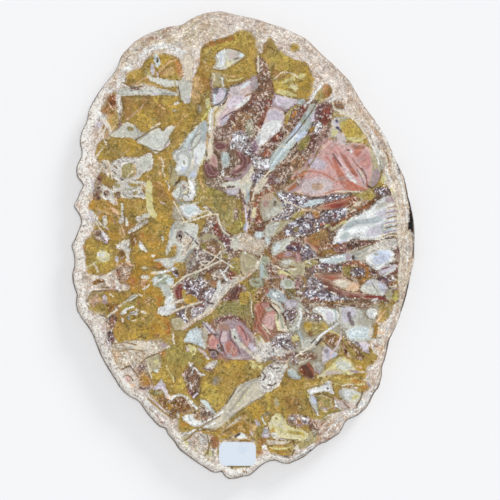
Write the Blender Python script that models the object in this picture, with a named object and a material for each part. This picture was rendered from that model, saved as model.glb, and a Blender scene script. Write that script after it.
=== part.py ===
"""Petrified wood slice: one flat polished slab of agatized wood with a small blank paper label.

The slab lies on its sawn back. +Z is up out of the polished face, +Y runs along the
longest way across the cut, and the origin is on the table under the middle of the slab.
"""

import math

import bmesh
import bpy
import numpy as np
from mathutils import Vector, noise

# Driving dimensions, in metres
SLICE_LENGTH = 0.249
SLICE_THICKNESS = 0.0115
BACK_CHAMFER = 0.0011
LEDGE_DEPTH = 0.0016
BARK_RELIEF = 0.0009
LABEL_WIDTH = 0.0195
LABEL_HEIGHT = 0.0125
LABEL_CORNER = 0.0034
LABEL_THICKNESS = 0.0002
TOUCH_GAP = 0.0003

# The bark line seen square on, read clockwise from the top in pixels of the reference picture
RIM_OUTLINE_PX = (
    (150, 31.5), (160, 28), (170, 25.2), (180, 23.8), (190, 18), (200, 13.2), (210, 10.8),
    (217, 10), (224, 10.2), (230, 12), (243, 15), (255, 17.5), (268, 21.8), (280, 25.5),
    (290, 29.7), (300, 34.3), (305, 37), (315, 46), (325, 55.7), (335, 64.5), (345, 74.5),
    (350, 80), (356, 90), (365, 105), (375, 118.5), (385, 134), (390, 144.5), (398.5, 163),
    (405, 176), (410, 198), (414, 215), (415.3, 232), (415.3, 250), (414.5, 263), (412, 273),
    (410.5, 283), (408, 295), (404.5, 306), (400, 318.5), (394.5, 332), (390.5, 341),
    (388.5, 350), (386, 360), (383, 368.5), (382.8, 376), (381.3, 383), (379.5, 388.5),
    (376, 393), (372, 400.5), (367, 408.5), (361, 414.5), (354, 418.3), (350, 419.8),
    (346.5, 422), (344, 427), (340, 434), (334, 438.5), (327, 443), (320, 445.5), (313, 451),
    (305, 457.5), (296, 462.3), (288, 465), (281, 464), (276, 461.8), (271, 462), (262, 466.5),
    (256, 471.5), (250, 476.5), (242, 478.3), (235, 480), (228, 480), (223, 475.5),
    (221, 472.5), (218, 474), (211, 473), (205, 469.3), (195, 463), (185, 455.5), (179, 451),
    (173, 442), (167, 435), (164.5, 429.5), (160, 428.5), (153, 422), (146, 414), (142, 408),
    (138, 402.5), (130, 398), (122, 392), (113, 379), (105, 366), (98, 352), (94.5, 343),
    (91.5, 335), (85, 325), (79, 316.5), (75.5, 309), (74.8, 302), (75.6, 296), (73.5, 289),
    (71.3, 280), (71.2, 273), (73, 266), (73.3, 260), (72, 252), (70.3, 246), (73.5, 239),
    (77.5, 229.5), (80, 221), (77.5, 213.5), (72.7, 205), (76, 199), (79.5, 190), (81.8, 186),
    (76, 176), (75.2, 167), (80.5, 155), (78.8, 141), (80.5, 131), (85.5, 121), (88, 109),
    (96, 94), (104, 83), (111, 74.5), (116, 67.5), (118.7, 60), (121, 54), (126, 48.5), (134, 41),
    (142, 35.5),
)
LABEL_CENTRE_PX = (237.4, 454)

# How far the polished face stops short of the bark line, by compass angle from +X, in metres
FACE_SHOULDER = {
    0: 0.0006,
    35: 0.0006,
    60: 0.0009,
    90: 0.0010,
    120: 0.0012,
    150: 0.0015,
    185: 0.0022,
    205: 0.0028,
    220: 0.0036,
    240: 0.0034,
    262: 0.0036,
    285: 0.0022,
    310: 0.0016,
    335: 0.0008,
}

# The stretch of the rim, by compass angle, whose bark juts out under the polished face
LEDGE_MIDDLE_DEG = 0.0
LEDGE_HALF_SPAN_DEG = 58.0

# Rings of the side wall, as shares of the thickness from the sawn back to the polished face
SIDE_LEVELS = (0.0, 0.07, 0.24, 0.44, 0.56, 0.74, 0.89, 0.97, 1.0)
WIDEST_LEVEL = 0.44
RIM_SAMPLES = 420

# Open pits in the polished face: centre in picture pixels, then half length, half width and
# depth in metres, and the turn of the long side from +X in degrees
FACE_PITS = {
    "vein": ((180.0, 236.6), 0.0016, 0.0009, 0.0016, 80.0),
    "bark_crescent": ((285.5, 457.2), 0.0021, 0.0008, 0.0012, 4.0),
    "bark_nick": ((312.4, 450.6), 0.0011, 0.0008, 0.0012, -25.0),
    "bark_hole": ((380.2, 338.0), 0.0007, 0.0006, 0.0010, 0.0),
}


def clear_scene():
    for item in list(bpy.data.objects):
        bpy.data.objects.remove(item, do_unlink=True)


def make_collection(name):
    group = bpy.data.collections.new(name)
    bpy.context.scene.collection.children.link(group)
    return group


def make_material(name, colour, roughness):
    material = bpy.data.materials.new(name)
    material.use_nodes = True
    shader = material.node_tree.nodes["Principled BSDF"]
    shader.inputs["Base Color"].default_value = (*colour, 1.0)
    shader.inputs["Roughness"].default_value = roughness
    shader.inputs["Metallic"].default_value = 0.0
    material.diffuse_color = (*colour, 1.0)
    return material


def closed_curve(points, count):
    """Evenly spaced points on the smooth closed curve through the given points."""
    knots = np.array(points, dtype=float)
    gap_after = np.linalg.norm(np.roll(knots, -1, axis=0) - knots, axis=1)[:, None]
    gap_before = np.roll(gap_after, 1, axis=0)
    slope_after = (np.roll(knots, -1, axis=0) - knots) / gap_after
    slope_before = np.roll(slope_after, 1, axis=0)
    tangent = (slope_after * gap_before + slope_before * gap_after) / (gap_before + gap_after)
    next_knot = np.roll(knots, -1, axis=0)
    next_tangent = np.roll(tangent, -1, axis=0)
    pieces = []
    for t in np.linspace(0.0, 1.0, 16, endpoint=False):
        pieces.append(
            (2 * t**3 - 3 * t**2 + 1) * knots
            + (t**3 - 2 * t**2 + t) * gap_after * tangent
            + (3 * t**2 - 2 * t**3) * next_knot
            + (t**3 - t**2) * gap_after * next_tangent
        )
    dense = np.stack(pieces, axis=1).reshape(-1, 2)
    closed = np.vstack([dense, dense[:1]])
    travelled = np.concatenate([[0.0], np.cumsum(np.linalg.norm(np.diff(closed, axis=0), axis=1))])
    stops = np.linspace(0.0, travelled[-1], count, endpoint=False)
    return np.column_stack([np.interp(stops, travelled, closed[:, k]) for k in (0, 1)])


def picture_frame():
    """Middle of the slab in picture pixels, and the metres that one pixel stands for."""
    curve = closed_curve(RIM_OUTLINE_PX, 4 * RIM_SAMPLES)
    low = curve.min(axis=0)
    high = curve.max(axis=0)
    return (low + high) / 2.0, SLICE_LENGTH / (high[1] - low[1])


def from_picture(points):
    """Turn picture pixels, whose y runs down, into metres around the slab's middle."""
    middle, metres = picture_frame()
    offset = np.atleast_2d(np.array(points, dtype=float)) - middle
    return offset * (metres, -metres)


def blurred(values, reach):
    """Moving average round the closed rim."""
    return sum(np.roll(values, k, axis=0) for k in range(-reach, reach + 1)) / (2 * reach + 1)


def inward_directions(rim):
    """Unit vectors that point from the rim into the slab, smoothed past small notches."""
    along = blurred(np.roll(rim, -1, axis=0) - np.roll(rim, 1, axis=0), 7)
    inward = np.column_stack([along[:, 1], -along[:, 0]])
    inward /= np.linalg.norm(inward, axis=1)[:, None]
    if np.sum(inward * rim) > 0.0:
        inward = -inward
    return inward


def shoulder_widths(compass):
    angles = np.array(sorted(FACE_SHOULDER), dtype=float)
    widths = np.array([FACE_SHOULDER[int(a)] for a in angles])
    return blurred(np.interp(compass, angles, widths, period=360.0), 8)


def ledge_strength(compass, rim):
    """0 to 1 along the stretch of rim where dark bark juts out below the face."""
    away = np.abs((compass - LEDGE_MIDDLE_DEG + 180.0) % 360.0 - 180.0)
    window = np.clip(1.3 * (1.0 - away / LEDGE_HALF_SPAN_DEG), 0.0, 1.0)
    patch = np.array([noise.noise(Vector((x * 60.0, y * 60.0, 4.0))) for x, y in rim])
    return window * np.clip(0.6 + 1.4 * patch, 0.0, 1.0)


def bark_lumps(rim, height):
    """Ridges that run through the slab's thickness, 0 to 1 at one height."""
    lumps = []
    for x, y in rim:
        broad = noise.noise(Vector((x * 130.0, y * 130.0, height * 45.0)))
        fine = noise.noise(Vector((x * 330.0, y * 330.0, height * 160.0 + 7.0)))
        lumps.append(0.5 + 0.55 * broad + 0.35 * fine)
    return np.clip(np.array(lumps), 0.0, 1.0)


def side_rings():
    """The slab's wall as closed rings of points, from the sawn back up to the face."""
    rim = from_picture(closed_curve(RIM_OUTLINE_PX, RIM_SAMPLES))
    inward = inward_directions(rim)
    compass = np.degrees(np.arctan2(rim[:, 1], rim[:, 0])) % 360.0
    shoulder = shoulder_widths(compass)
    ledge = ledge_strength(compass, rim) * LEDGE_DEPTH
    rings = []
    for level in SIDE_LEVELS:
        height = level * SLICE_THICKNESS
        front = max(0.0, (level - WIDEST_LEVEL) / (1.0 - WIDEST_LEVEL))
        back = max(0.0, 1.0 - level / SIDE_LEVELS[2])
        inset = shoulder * (1.0 - math.sqrt(1.0 - front**2))
        inset = inset + BACK_CHAMFER * (1.0 - math.sqrt(1.0 - back**2))
        inset = inset + ledge * min(1.0, front / 0.2) * (1.0 - 0.35 * front)
        if 0.0 < level < 1.0 and level != WIDEST_LEVEL:
            inset = inset + BARK_RELIEF * bark_lumps(rim, height) * (1.0 - 0.8 * front)
        flat = rim + inward * inset[:, None]
        rings.append([(x, y, height) for x, y in flat])
    return rings


def make_slab(group, material):
    rings = side_rings()
    mesh = bpy.data.meshes.new("petrified_wood_slice")
    shape = bmesh.new()
    rows = [[shape.verts.new(point) for point in ring] for ring in rings]
    for lower, upper in zip(rows, rows[1:]):
        for k, corner in enumerate(lower):
            after = (k + 1) % len(lower)
            shape.faces.new((corner, lower[after], upper[after], upper[k]))
    shape.faces.new(rows[0])
    shape.faces.new(rows[-1])
    bmesh.ops.recalc_face_normals(shape, faces=shape.faces)
    shape.to_mesh(mesh)
    shape.free()
    mesh.materials.append(material)
    slab = bpy.data.objects.new("petrified_wood_slice", mesh)
    group.objects.link(slab)
    return slab


def cut_pits(slab, cutters):
    for name, (centre, half_length, half_width, depth, turn) in FACE_PITS.items():
        x, y = from_picture(centre)[0]
        bpy.ops.mesh.primitive_ico_sphere_add(subdivisions=2, radius=1.0, location=(0, 0, 0))
        cutter = bpy.context.active_object
        cutter.name = f"pit_cutter_{name}"
        stretch = Vector((half_length, half_width, depth))
        for vertex in cutter.data.vertices:
            vertex.co = vertex.co * stretch
        cutter.rotation_euler.z = math.radians(turn)
        cutter.location = (x, y, SLICE_THICKNESS)
        for holder in list(cutter.users_collection):
            holder.objects.unlink(cutter)
        cutters.objects.link(cutter)
        cutter.hide_render = True
        cutter.display_type = "WIRE"
        cut = slab.modifiers.new(f"pit_{name}", "BOOLEAN")
        cut.operation = "DIFFERENCE"
        cut.solver = "EXACT"
        cut.object = cutter


def rounded_rectangle(width, height, radius, steps=6):
    points = []
    for quarter, (side_x, side_y) in enumerate(((1, 1), (-1, 1), (-1, -1), (1, -1))):
        middle_x = side_x * (width / 2 - radius)
        middle_y = side_y * (height / 2 - radius)
        for k in range(steps + 1):
            angle = math.radians(90.0 * (quarter + k / steps))
            points.append((middle_x + radius * math.cos(angle), middle_y + radius * math.sin(angle)))
    return points


def make_label(group, material):
    outline = rounded_rectangle(LABEL_WIDTH, LABEL_HEIGHT, LABEL_CORNER)
    curve = bpy.data.curves.new("paper_label", "CURVE")
    curve.dimensions = "2D"
    curve.fill_mode = "BOTH"
    curve.extrude = LABEL_THICKNESS / 2
    spline = curve.splines.new("POLY")
    spline.points.add(len(outline) - 1)
    for point, (x, y) in zip(spline.points, outline):
        point.co = (x, y, 0.0, 1.0)
    spline.use_cyclic_u = True
    curve.materials.append(material)
    label = bpy.data.objects.new("paper_label", curve)
    x, y = from_picture(LABEL_CENTRE_PX)[0]
    label.location = (x, y, SLICE_THICKNESS + TOUCH_GAP + LABEL_THICKNESS / 2)
    group.objects.link(label)
    return label


def main():
    clear_scene()
    parts = make_collection("petrified_wood_slice_parts")
    cutters = make_collection("cutters")
    stone = make_material("polished_petrified_wood", (0.48, 0.35, 0.16), 0.18)
    paper = make_material("blank_label_paper", (0.80, 0.86, 0.92), 0.6)
    slab = make_slab(parts, stone)
    cut_pits(slab, cutters)
    make_label(parts, paper)


main()
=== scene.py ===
# %% [markdown]
# # A polished slice of petrified wood
#
# A log that turned to agate is sawn across, and one face is polished. Ochre jasper fills most of this
# slice. Pale agate, pink lobes and arms of small crystals stand in it like a star, a rough cream rind
# runs round it, and a blank paper label is stuck near its lower end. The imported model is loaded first,
# because every piece takes its place and its size from it.

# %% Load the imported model
import math

import bpy
import numpy as np
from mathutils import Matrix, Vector, geometry, kdtree, noise
from mathutils.bvhtree import BVHTree


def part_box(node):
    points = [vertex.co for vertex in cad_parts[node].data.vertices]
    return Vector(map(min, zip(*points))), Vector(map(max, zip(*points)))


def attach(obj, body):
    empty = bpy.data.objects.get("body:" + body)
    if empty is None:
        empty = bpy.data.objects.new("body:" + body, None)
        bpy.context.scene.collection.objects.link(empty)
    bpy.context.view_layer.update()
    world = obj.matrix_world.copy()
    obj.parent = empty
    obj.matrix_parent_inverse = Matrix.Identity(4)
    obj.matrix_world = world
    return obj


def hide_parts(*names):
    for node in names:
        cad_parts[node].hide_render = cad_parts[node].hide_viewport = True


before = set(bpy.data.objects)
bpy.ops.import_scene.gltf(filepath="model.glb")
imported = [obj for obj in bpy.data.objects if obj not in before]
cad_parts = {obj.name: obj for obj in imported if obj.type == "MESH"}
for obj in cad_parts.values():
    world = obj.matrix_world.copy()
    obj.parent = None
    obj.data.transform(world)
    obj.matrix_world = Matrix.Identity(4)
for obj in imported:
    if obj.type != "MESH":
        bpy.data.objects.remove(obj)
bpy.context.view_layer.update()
SLAB = "petrified_wood_slice"
LABEL = "paper_label"
slab_low, slab_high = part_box(SLAB)
label_low, label_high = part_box(LABEL)
TOP = slab_high.z
print(f"slab {1000 * (slab_high.y - slab_low.y):.0f} mm long and {1000 * TOP:.1f} mm thick")

# %% [markdown]
# The markings are drawn over the photograph, so they are in its pixels, with y downwards. The
# slice's length and middle in pixels tie them to the stone. One pixel is about half a millimetre.

# %% From picture pixels to metres
PICTURE_SIDE_PX = 500.0
SLICE_LENGTH_PX = 470.5
SLICE_MIDDLE_PX = np.array((242.9, 245.2))
PIXEL = (slab_high.y - slab_low.y) / SLICE_LENGTH_PX


def to_metres(points_px):
    return (np.asarray(points_px, dtype=float) - SLICE_MIDDLE_PX) * (PIXEL, -PIXEL)


def to_pixels(points):
    return points / (PIXEL, -PIXEL) + SLICE_MIDDLE_PX


print(f"one pixel is {1000 * PIXEL:.3f} mm")

# %% [markdown]
# ## The palette
#
# Each name stands for one sort of stone: its sRGB colour, and the grain that it shows close up.
# *mottled* is jasper with cloudy iron stains, *crystal* is a crust of small grains with painted white
# glints for their sparkle, *frosted* is that crust where it is white, *granular* is the same where its
# grains are brown and dull, *banded* is agate with faint growth lines, *flecked* is the rind, and *plain* is
# smooth.

# %% Sorts of stone
PALETTE = {
    "ochre": (166, 138, 70, "mottled"),
    "gold": (182, 150, 66, "mottled"),
    "mustard": (184, 162, 80, "mottled"),
    "olive": (152, 140, 78, "mottled"),
    "moss": (132, 126, 74, "mottled"),
    "amber": (176, 112, 50, "mottled"),
    "honey": (172, 132, 54, "mottled"),
    "russet": (150, 102, 54, "mottled"),
    "tawny": (190, 152, 108, "granular"),
    "chestnut": (104, 62, 46, "plain"),
    "bone": (204, 197, 178, "banded"),
    "white": (240, 238, 232, "plain"),
    "brown": (142, 108, 62, "mottled"),
    "umber": (106, 82, 54, "mottled"),
    "tan": (204, 170, 126, "plain"),
    "straw": (212, 204, 146, "banded"),
    "pale": (211, 214, 206, "banded"),
    "milk": (232, 236, 236, "plain"),
    "frost": (214, 210, 202, "frosted"),
    "ice": (212, 226, 230, "banded"),
    "aqua": (180, 194, 194, "banded"),
    "cream": (222, 212, 192, "banded"),
    "beige": (202, 188, 164, "flecked"),
    "stone": (176, 174, 162, "banded"),
    "grey": (142, 140, 134, "plain"),
    "sage": (156, 162, 138, "plain"),
    "lavender": (200, 194, 208, "banded"),
    "bluish": (196, 206, 228, "plain"),
    "pink": (208, 166, 162, "banded"),
    "blush": (216, 194, 196, "banded"),
    "peach": (224, 186, 152, "banded"),
    "rose": (198, 140, 134, "plain"),
    "salmon": (188, 112, 90, "plain"),
    "terracotta": (178, 112, 98, "plain"),
    "rust": (158, 102, 76, "plain"),
    "red": (150, 82, 74, "plain"),
    "maroon": (122, 78, 80, "plain"),
    "plum": (106, 82, 94, "plain"),
    "mauve": (166, 144, 152, "banded"),
    "clay": (166, 126, 108, "plain"),
    "druse": (168, 160, 164, "crystal"),
    "dusk": (122, 104, 106, "crystal"),
    "hazel": (140, 122, 104, "granular"),
    "dark": (74, 58, 50, "plain"),
    "black": (38, 30, 26, "plain"),
    "rind": (214, 200, 188, "flecked"),
    "drab": (175, 165, 130, "banded"),
    "lime": (205, 205, 115, "plain"),
    "steel": (168, 178, 182, "plain"),
    "garnet": (118, 78, 74, "granular"),
    "wine": (126, 62, 56, "plain"),
    "violet": (152, 128, 152, "plain"),
    "slate": (126, 120, 134, "crystal"),
    "taupe": (156, 132, 122, "granular"),
    "cocoa": (132, 104, 84, "granular"),
    "earth": (156, 126, 94, "granular"),
    "fig": (112, 82, 90, "granular"),
    "sienna": (146, 88, 50, "granular"),
    "bronze": (144, 108, 54, "granular"),
    "navy": (80, 74, 100, "plain"),
    "lemon": (226, 218, 174, "banded"),
    "pearl": (218, 208, 222, "banded"),
    "heather": (168, 128, 126, "plain"),
    "brick": (160, 96, 76, "plain"),
    "mist": (200, 201, 190, "banded"),
    "putty": (172, 164, 144, "banded"),
    "shell": (202, 184, 178, "banded"),
    "lilac": (208, 197, 199, "banded"),
    "fawn": (188, 160, 138, "plain"),
    "ash": (124, 110, 106, "granular"),
    "iron": (88, 82, 88, "plain"),
}
KINDS = ("mottled", "crystal", "frosted", "granular", "banded", "flecked")


def linear(srgb):
    """One sRGB channel from 0 to 255 as the linear value that shaders use."""
    value = srgb / 255.0
    return value / 12.92 if value <= 0.04045 else ((value + 0.055) / 1.055) ** 2.4


print(f"{len(PALETTE)} sorts of stone")

# %% [markdown]
# ## The markings
#
# They could be one painted image, but here each is a shape of its own, so it stays sharp from any
# distance. A shape is a sort of stone and a line of points: the first is a place in pixels, and each
# further one is the step from the point before. A word like w1.5 makes it a stroke that is 1.5 pixels
# wide, and s4 makes its edge 4 pixels soft. Shapes are grouped in layers, laid over each other from the
# first to the last. The ochre body comes first: all that lies outside it is rind.

# %% Layers, and how a shape is written
LAYERS = {name: [] for name in ("body", "ground", "stains", "forms", "insets", "marks", "veins")}


def draw(layer, text):
    """Add shapes to a layer: each is a sort of stone, maybe a width or a softness, and its points."""
    for word in text.split():
        if word in PALETTE:
            shape = {"stone": word, "points": [], "w": None, "s": 1.0}
            LAYERS[layer].append(shape)
        elif "," in word:
            step = [float(number) for number in word.split(",")]
            last = shape["points"][-1] if shape["points"] else (0.0, 0.0)
            shape["points"].append([last[0] + step[0], last[1] + step[1]])
        else:
            shape[word[0]] = float(word[1:])
    print(f"the {layer} now have {len(LAYERS[layer])} shapes")


# %% The jasper body, all of whose outside is rind
draw("body", """
ochre 200,50 3,-5 5,-3 18,-6 6,-1 3,-3 4,-2 6,-1 5,2 4,3 2,4 0,8 3,2 3,6 2,-7 4,-9 4,0 3,4 2,5 4,4 4,3
  10,6 5,1 5,0 6,8 2,6 0,13 -4,11 10,1 14,10 7,3 6,5 8,2 3,5 7,7 2,7 3,3 5,8 4,8 3,8 3,6 0,8 4,6 2,9 3,5
  2,6 0,9 1,20 3,15 0,12 -1,10 1,18 1,7 -2,6 -5,2 -1,7 -7,10 -7,0 3,6 -1,6 -4,6 -6,2 2,8 6,4 0,4 -4,6 -6,2
  -2,6 -1,8 5,4 -1,7 -7,2 1,4 -5,5 -15,2 -2,5 -6,4 -10,2 -5,3 -7,3 5,5 1,6 0,8 -6,4 -13,6 -4,-4 -3,6 -3,3
  -7,1 -7,-1 -6,-3 -8,-10 0,10 -6,8 0,-19 -37,-1 0,16 -6,-5 -5,-11 -8,-9 -10,1 -10,2 -3,-6 1,-8 -4,-1
  -6,-5 -5,-6 -16,-16 6,-6 -7,-14 14,-18 11,-8 -11,-5 -30,0 -10,2 -5,-3 -3,-10 -4,-8 -1,-6 -7,-2 -7,-1
  -5,-4 -2,-5 1,-7 4,-5 9,-1 12,0 9,-1 9,-2 0,-4 -6,-2 0,-6 4,-8 -4,-5 -5,2 -3,4 -3,2 -12,5 -8,-1 -7,-2
  2,-5 -4,-7 2,-4 -2,-7 0,-9 5,-4 3,-4 2,-6 1,-9 -1,-4 -5,-5 -1,-4 5,-6 2,-9 -1,-6 2,-6 8,-10 -8,-11 0,-8
  1,-5 6,-6 7,-1 2,-6 2,-2 -3,-2 -6,-13 -5,-4 9,-15 4,-3 6,1 11,-4 15,-2 15,3 24,5 8,0 0,-10 2,-10 3,-5
  3,-10
ochre 123,81 4,-5 1,-4 3,-2 8,-1 3,-3 3,-6 6,-6 3,-2 6,0 10,2 8,3 3,7 3,10 -2,4 -5,17 -8,-4 -9,-3 -17,-4
  -9,2 -7,-1
ochre 288,47 3,-3 4,-1 4,2 1,4 -3,3 -5,0
ochre 324,85 4,-1 5,6 -1,4 -6,5 -6,4 -3,-8 4,-4
ochre 334,101 3,-1 8,9 -9,1 -3,-3
ochre 93,284 2,-3 3,-3 4,1 2,2 -3,3 -4,1
brown 106,126 3,7 0,5 -3,6 -2,-8
""")

# %% The ground that the star lies in
draw("ground", """
hazel s2 214,96 16,-10 26,-10 6,-18 8,22 6,14 24,6 20,0 14,10 -4,18 -8,12 -12,20 -10,14 -12,14 -14,4 -12,6
  -18,2 -22,-2 -16,-10 -4,-18 3,-18 8,-12 1,-12
earth s3 246,190 16,2 18,8 20,12 0,24 -4,26 -6,18 10,20 0,30 -10,10 -14,-6 -14,-28 -12,-22 -6,-12 -12,-22
  -6,-18 21,-10 -3,-16
hazel s2 280,190 20,6 40,-4 36,-2 16,10 4,40 3,22 -3,28 -8,14 -22,2 -26,-2 -20,2 -20,-4 -10,-12 10,-20
  -4,-30 -11,-25
putty s3 292,296 28,6 46,2 22,0 -4,14 -8,6 2,12 -12,8 -16,-4 -12,10 -10,12 -16,10 -16,0 -12,-8 -22,2
  -4,-16 12,-10 10,-10 8,-12
clay s2 202,322 14,-4 14,-4 20,4 4,-14 14,-3 10,7 10,22 -8,16 -18,12 -22,4 -26,-2 -12,-10
olive s3 196,184 18,4 26,14 6,22 -6,14 -16,-8 -10,-16 -14,-12
olive s3 214,298 32,-14 10,-4 2,20 -6,12 -20,2 -20,0
moss s3 198,316 14,-6 6,6 -14,6 -10,6
""")

# %% Soft stains: the rind
draw("stains", """
beige s7 150,16 40,-2 24,6 8,14 -22,6 -20,10 -30,2 -26,18 -8,14 -6,-4 12,-22 14,-20
clay w3 s2 143,40 7,-3 8,2 7,-2
clay w3 s2 163,31 9,-3 8,2
beige s6 383,138 7,12 10,25 6,25 5,30 0,32 -3,28 -6,22 -5,-4 6,-28 0,-40 -4,-35 -8,-27 -7,-22
milk s5 76,156 8,4 0,12 -6,0
lavender s4 84,178 9,2 1,8 -6,2
lavender s4 87,212 9,2 -2,8 -6,0
lavender s3 100,326 6,4 0,10 -5,-2
lavender s3 108,343 5,2 -1,7 -4,-2
milk s5 76,296 8,4 4,18 10,22 8,22 -6,-4 -12,-24 -10,-18
milk s6 104,362 12,12 14,18 10,6 8,12 12,14 -8,-4 -14,-16 -20,-16
milk s5 176,440 8,10 12,12 14,8 12,2 -12,2 -20,-14
blush s5 154,406 12,10 6,14 -8,0 -12,-14
blush s5 333,400 17,2 -2,10 -14,0
fawn s6 318,408 16,6 8,10 -4,12 -12,8 -10,-4
milk w6 s3 119,84 3,-10 6,-7 8,-3 4,-7 7,-7 7,-3 9,-1 10,2 9,5 5,10
milk s4 95,112 10,2 1,7 -8,-1 -4,-4
lavender s3 94,124 9,-1 0,7 -7,-1
milk w4 s3 92,100 -4,10 -4,24 -2,24
milk w3 s2 100,92 6,-2 6,0
cream s5 379,320 8,2 -2,18 -6,14 -5,-9
milk s5 358,402 14,-12 7,-12 3,10 -12,20 -16,8 -10,-2
milk w6 s4 262,463 13,-4 15,3 10,-7 12,-6
cream s5 158,418 14,14 14,14 16,12 16,8 -4,6 -18,-10 -20,-16 -16,-16
clay s4 240,470 10,-2 6,5 -9,5
""")

# %% Soft stains: gold and mustard jasper
draw("stains", """
gold s5 150,206 18,0 4,30 -12,2 -12,-10
gold s4 240,288 10,0 4,12 -4,12 -9,-4
mustard s5 203,386 15,2 2,16 -12,3 -6,-7
mustard s5 345,346 15,2 2,9 -12,1
mustard s4 155,371 10,1 1,8 -10,0
gold s5 145,318 15,2 2,10 -14,0
gold s3 228,361 18,0 0,6 -18,0
gold s4 219,431 11,0 0,10 -11,0
mustard s4 270,50 14,4 8,8 -2,8 -12,0 -10,-10
gold s4 272,80 7,4 1,8 -8,-2
gold s4 300,66 11,8 1,16 -9,6 -1,-16
mustard s4 204,46 18,-6 22,-6 6,6 -14,4 -16,4 -14,10
mustard s4 99,246 9,4 0,14 -10,2 -6,-10
straw s3 99,251 8,2 -1,8 -7,-1
gold s4 150,60 10,-4 8,2 -2,8 -12,8
gold s5 128,348 12,-18 12,0 -2,10 -14,2
gold s5 158,94 14,2 6,8 -8,4 -10,-6
gold s5 138,112 14,-2 6,8 -10,6 -10,-4
gold s5 118,142 16,2 6,6 -12,4 -12,-4
mustard s5 182,374 10,16 -4,10 -10,-8
gold s5 240,404 16,-2 6,12 -10,6 -12,-6
gold s5 330,400 8,2 -8,10 -10,2
mustard s4 156,97 12,0 0,8 -10,0
russet s3 203,46 9,-4.5 10,-3 12,-2 2,3.5 -12,2.5 -20,6.5
""")

# %% Soft stains: tan and straw jasper
draw("stains", """
tan s2 160,159 7,2 -2,7 -5,-1
tan s2 157,171 8,1 -1,5 -6,0
tan s2 158,181 6,-1 0,5 -5,1
tan s3 147,291 6,1 0,13 -6,-2
straw s3 248,362 10,2 7,1 -1,5 -14,-2
tan s2 266,416 4,1 0,4 -4,0
""")

# %% Soft stains: amber jasper
draw("stains", """
amber s3 272,70 6,1 0,6 -6,-1
amber s3 242,430 6,1 -1,5 -5,0
amber s3 182,422 6,1 -1,4 -5,-1
amber s3 160,347 10,3 -2,6 -8,-2
amber s3 156,296 7,1 -1,8 -6,-2
honey s5 140,252 20,2 2,12 -12,6 -12,-6
honey s4 148,232 12,6 -2,10 -10,-4
honey s4 134,282 14,-6 8,8 -6,12 -12,2
honey s5 90,200 20,-2 10,10 0,12 -16,-6 -12,-2
honey s6 118,256 42,-6 4,40 -14,8 -22,-6 -6,-12
honey s5 150,316 18,0 0,26 -18,0
""")

# %% Soft stains: brown jasper
draw("stains", """
brown s4 94,230 13,1 -1,12 -12,-1
brown s4 114,314 11,1 -1,10 -10,-1
brown s4 236,372 10,1 0,7 -10,-1
mauve s3 94,298 4,0 0,8 -4,-1
grey s3 213,377 5,1 0,6 -5,0
grey s4 215,311 7,1 0,8 -7,-1
rust s3 156,333 4,1 0,5 -4,-1
brown s5 160,96 6,14 -6,14 -6,-12
brown s5 186,362 12,4 -2,26 -10,-2
brown s5 240,404 12,8 4,18 -8,-2 -8,-12
brown s5 156,184 10,2 2,12 -10,-2
brown s5 130,224 10,4 -2,12 -8,-4
brown s4 121,97 7,0 0,22 -7,-1
brown s4 138,96 12,0 2,12 -10,0
bronze s4 200,62 7,8 2,20 -2,14 -6,-2 -1,-18
""")

# %% Soft stains: olive jasper
draw("stains", """
olive s3 170,176 4,1 0,10 -4,-2
olive s5 171,318 13,2 -2,14 -10,-2
olive s6 218,298 32,2 0,16 -30,0
olive s6 165,344 35,2 0,20 -34,-2
olive s5 232,261 10,1 -1,10 -8,-1
olive s4 254,424 8,2 0,14 -7,0
olive s5 341,118 15,4 10,16 -8,4 -12,-10
olive s5 208,90 6,6 -2,24 -6,-2 -2,-18
olive s5 170,250 8,12 -4,4 -6,-8
olive s5 232,394 12,2 -4,10 -10,-2
olive s5 314,414 16,-2 -2,8 -12,4
""")

# %% Large forms: top
draw("forms", """
beige w4 258,30 1.5,12 .5,10
mustard 341,119 13,2 3,4 7,7 2,7 -9,2 -5,2 -10,-11
mist 214,57 6,-7 6,-1 6,.5 6,1.5 7,3.5 -7,7 -6,4 -11,4 -5,-1 -3,-2.5 3,-2 1,-3
""")

# %% Large forms: pink lobes and arms above the middle
draw("forms", """
maroon 205,160 4,1 6,9 4,-1 2,3 -2,4 -5,2 -5,0 -4,-4 -1,-6
heather 210,157 2,-3 3,-1 2,3 2,10 -1,3 -4,0 -5,-8
aqua 221,152 4,-1 4,2 1,5 0,5 -1,4 -3,2 -4,-3 -1,-5
maroon 236,152 4,-2 4,1 6,7 0,5 -2,5 -4,5 -6,3 -6,0 -4,-4 3,-3 5,-1 4,-3 1,-5 -3,-3
pale 222,183 11,-2 5,-2 5,-1 5,-6 4,-9 1,7 -1,6 -2,6 -3,4 -7,1 -8,-1 -11,1
lavender 224,190 6,-2 11,-2 -1,4 -3,4 -4,2 -6,-2
""")

# %% Large forms: right of the middle
draw("forms", """
dusk 281,311 4,-5 5,2 5,-1 3,3 -1,6 -4,4 1,4 -4,2 -3,-4
black 411,206 2,-1 2,8 1.5,9 .5,11 -4,-1 -2.5,-3 -2.7,.5 .2,-3.5 1.5,-3 -.5,-7 1.5,-2.5 -1,-2.5 .5,-4
dark 412.5,230 4.5,0 0,20 -2.7,0 -.8,-10
""")

# %% Large forms: the lobes below the middle
draw("forms", """
ice 184,341 4,-7 4,-3 5,-2 3,0 2,5 2,12 -2,3 -3,-3 -4,-2 -4,-1 -4,0
""")

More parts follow.
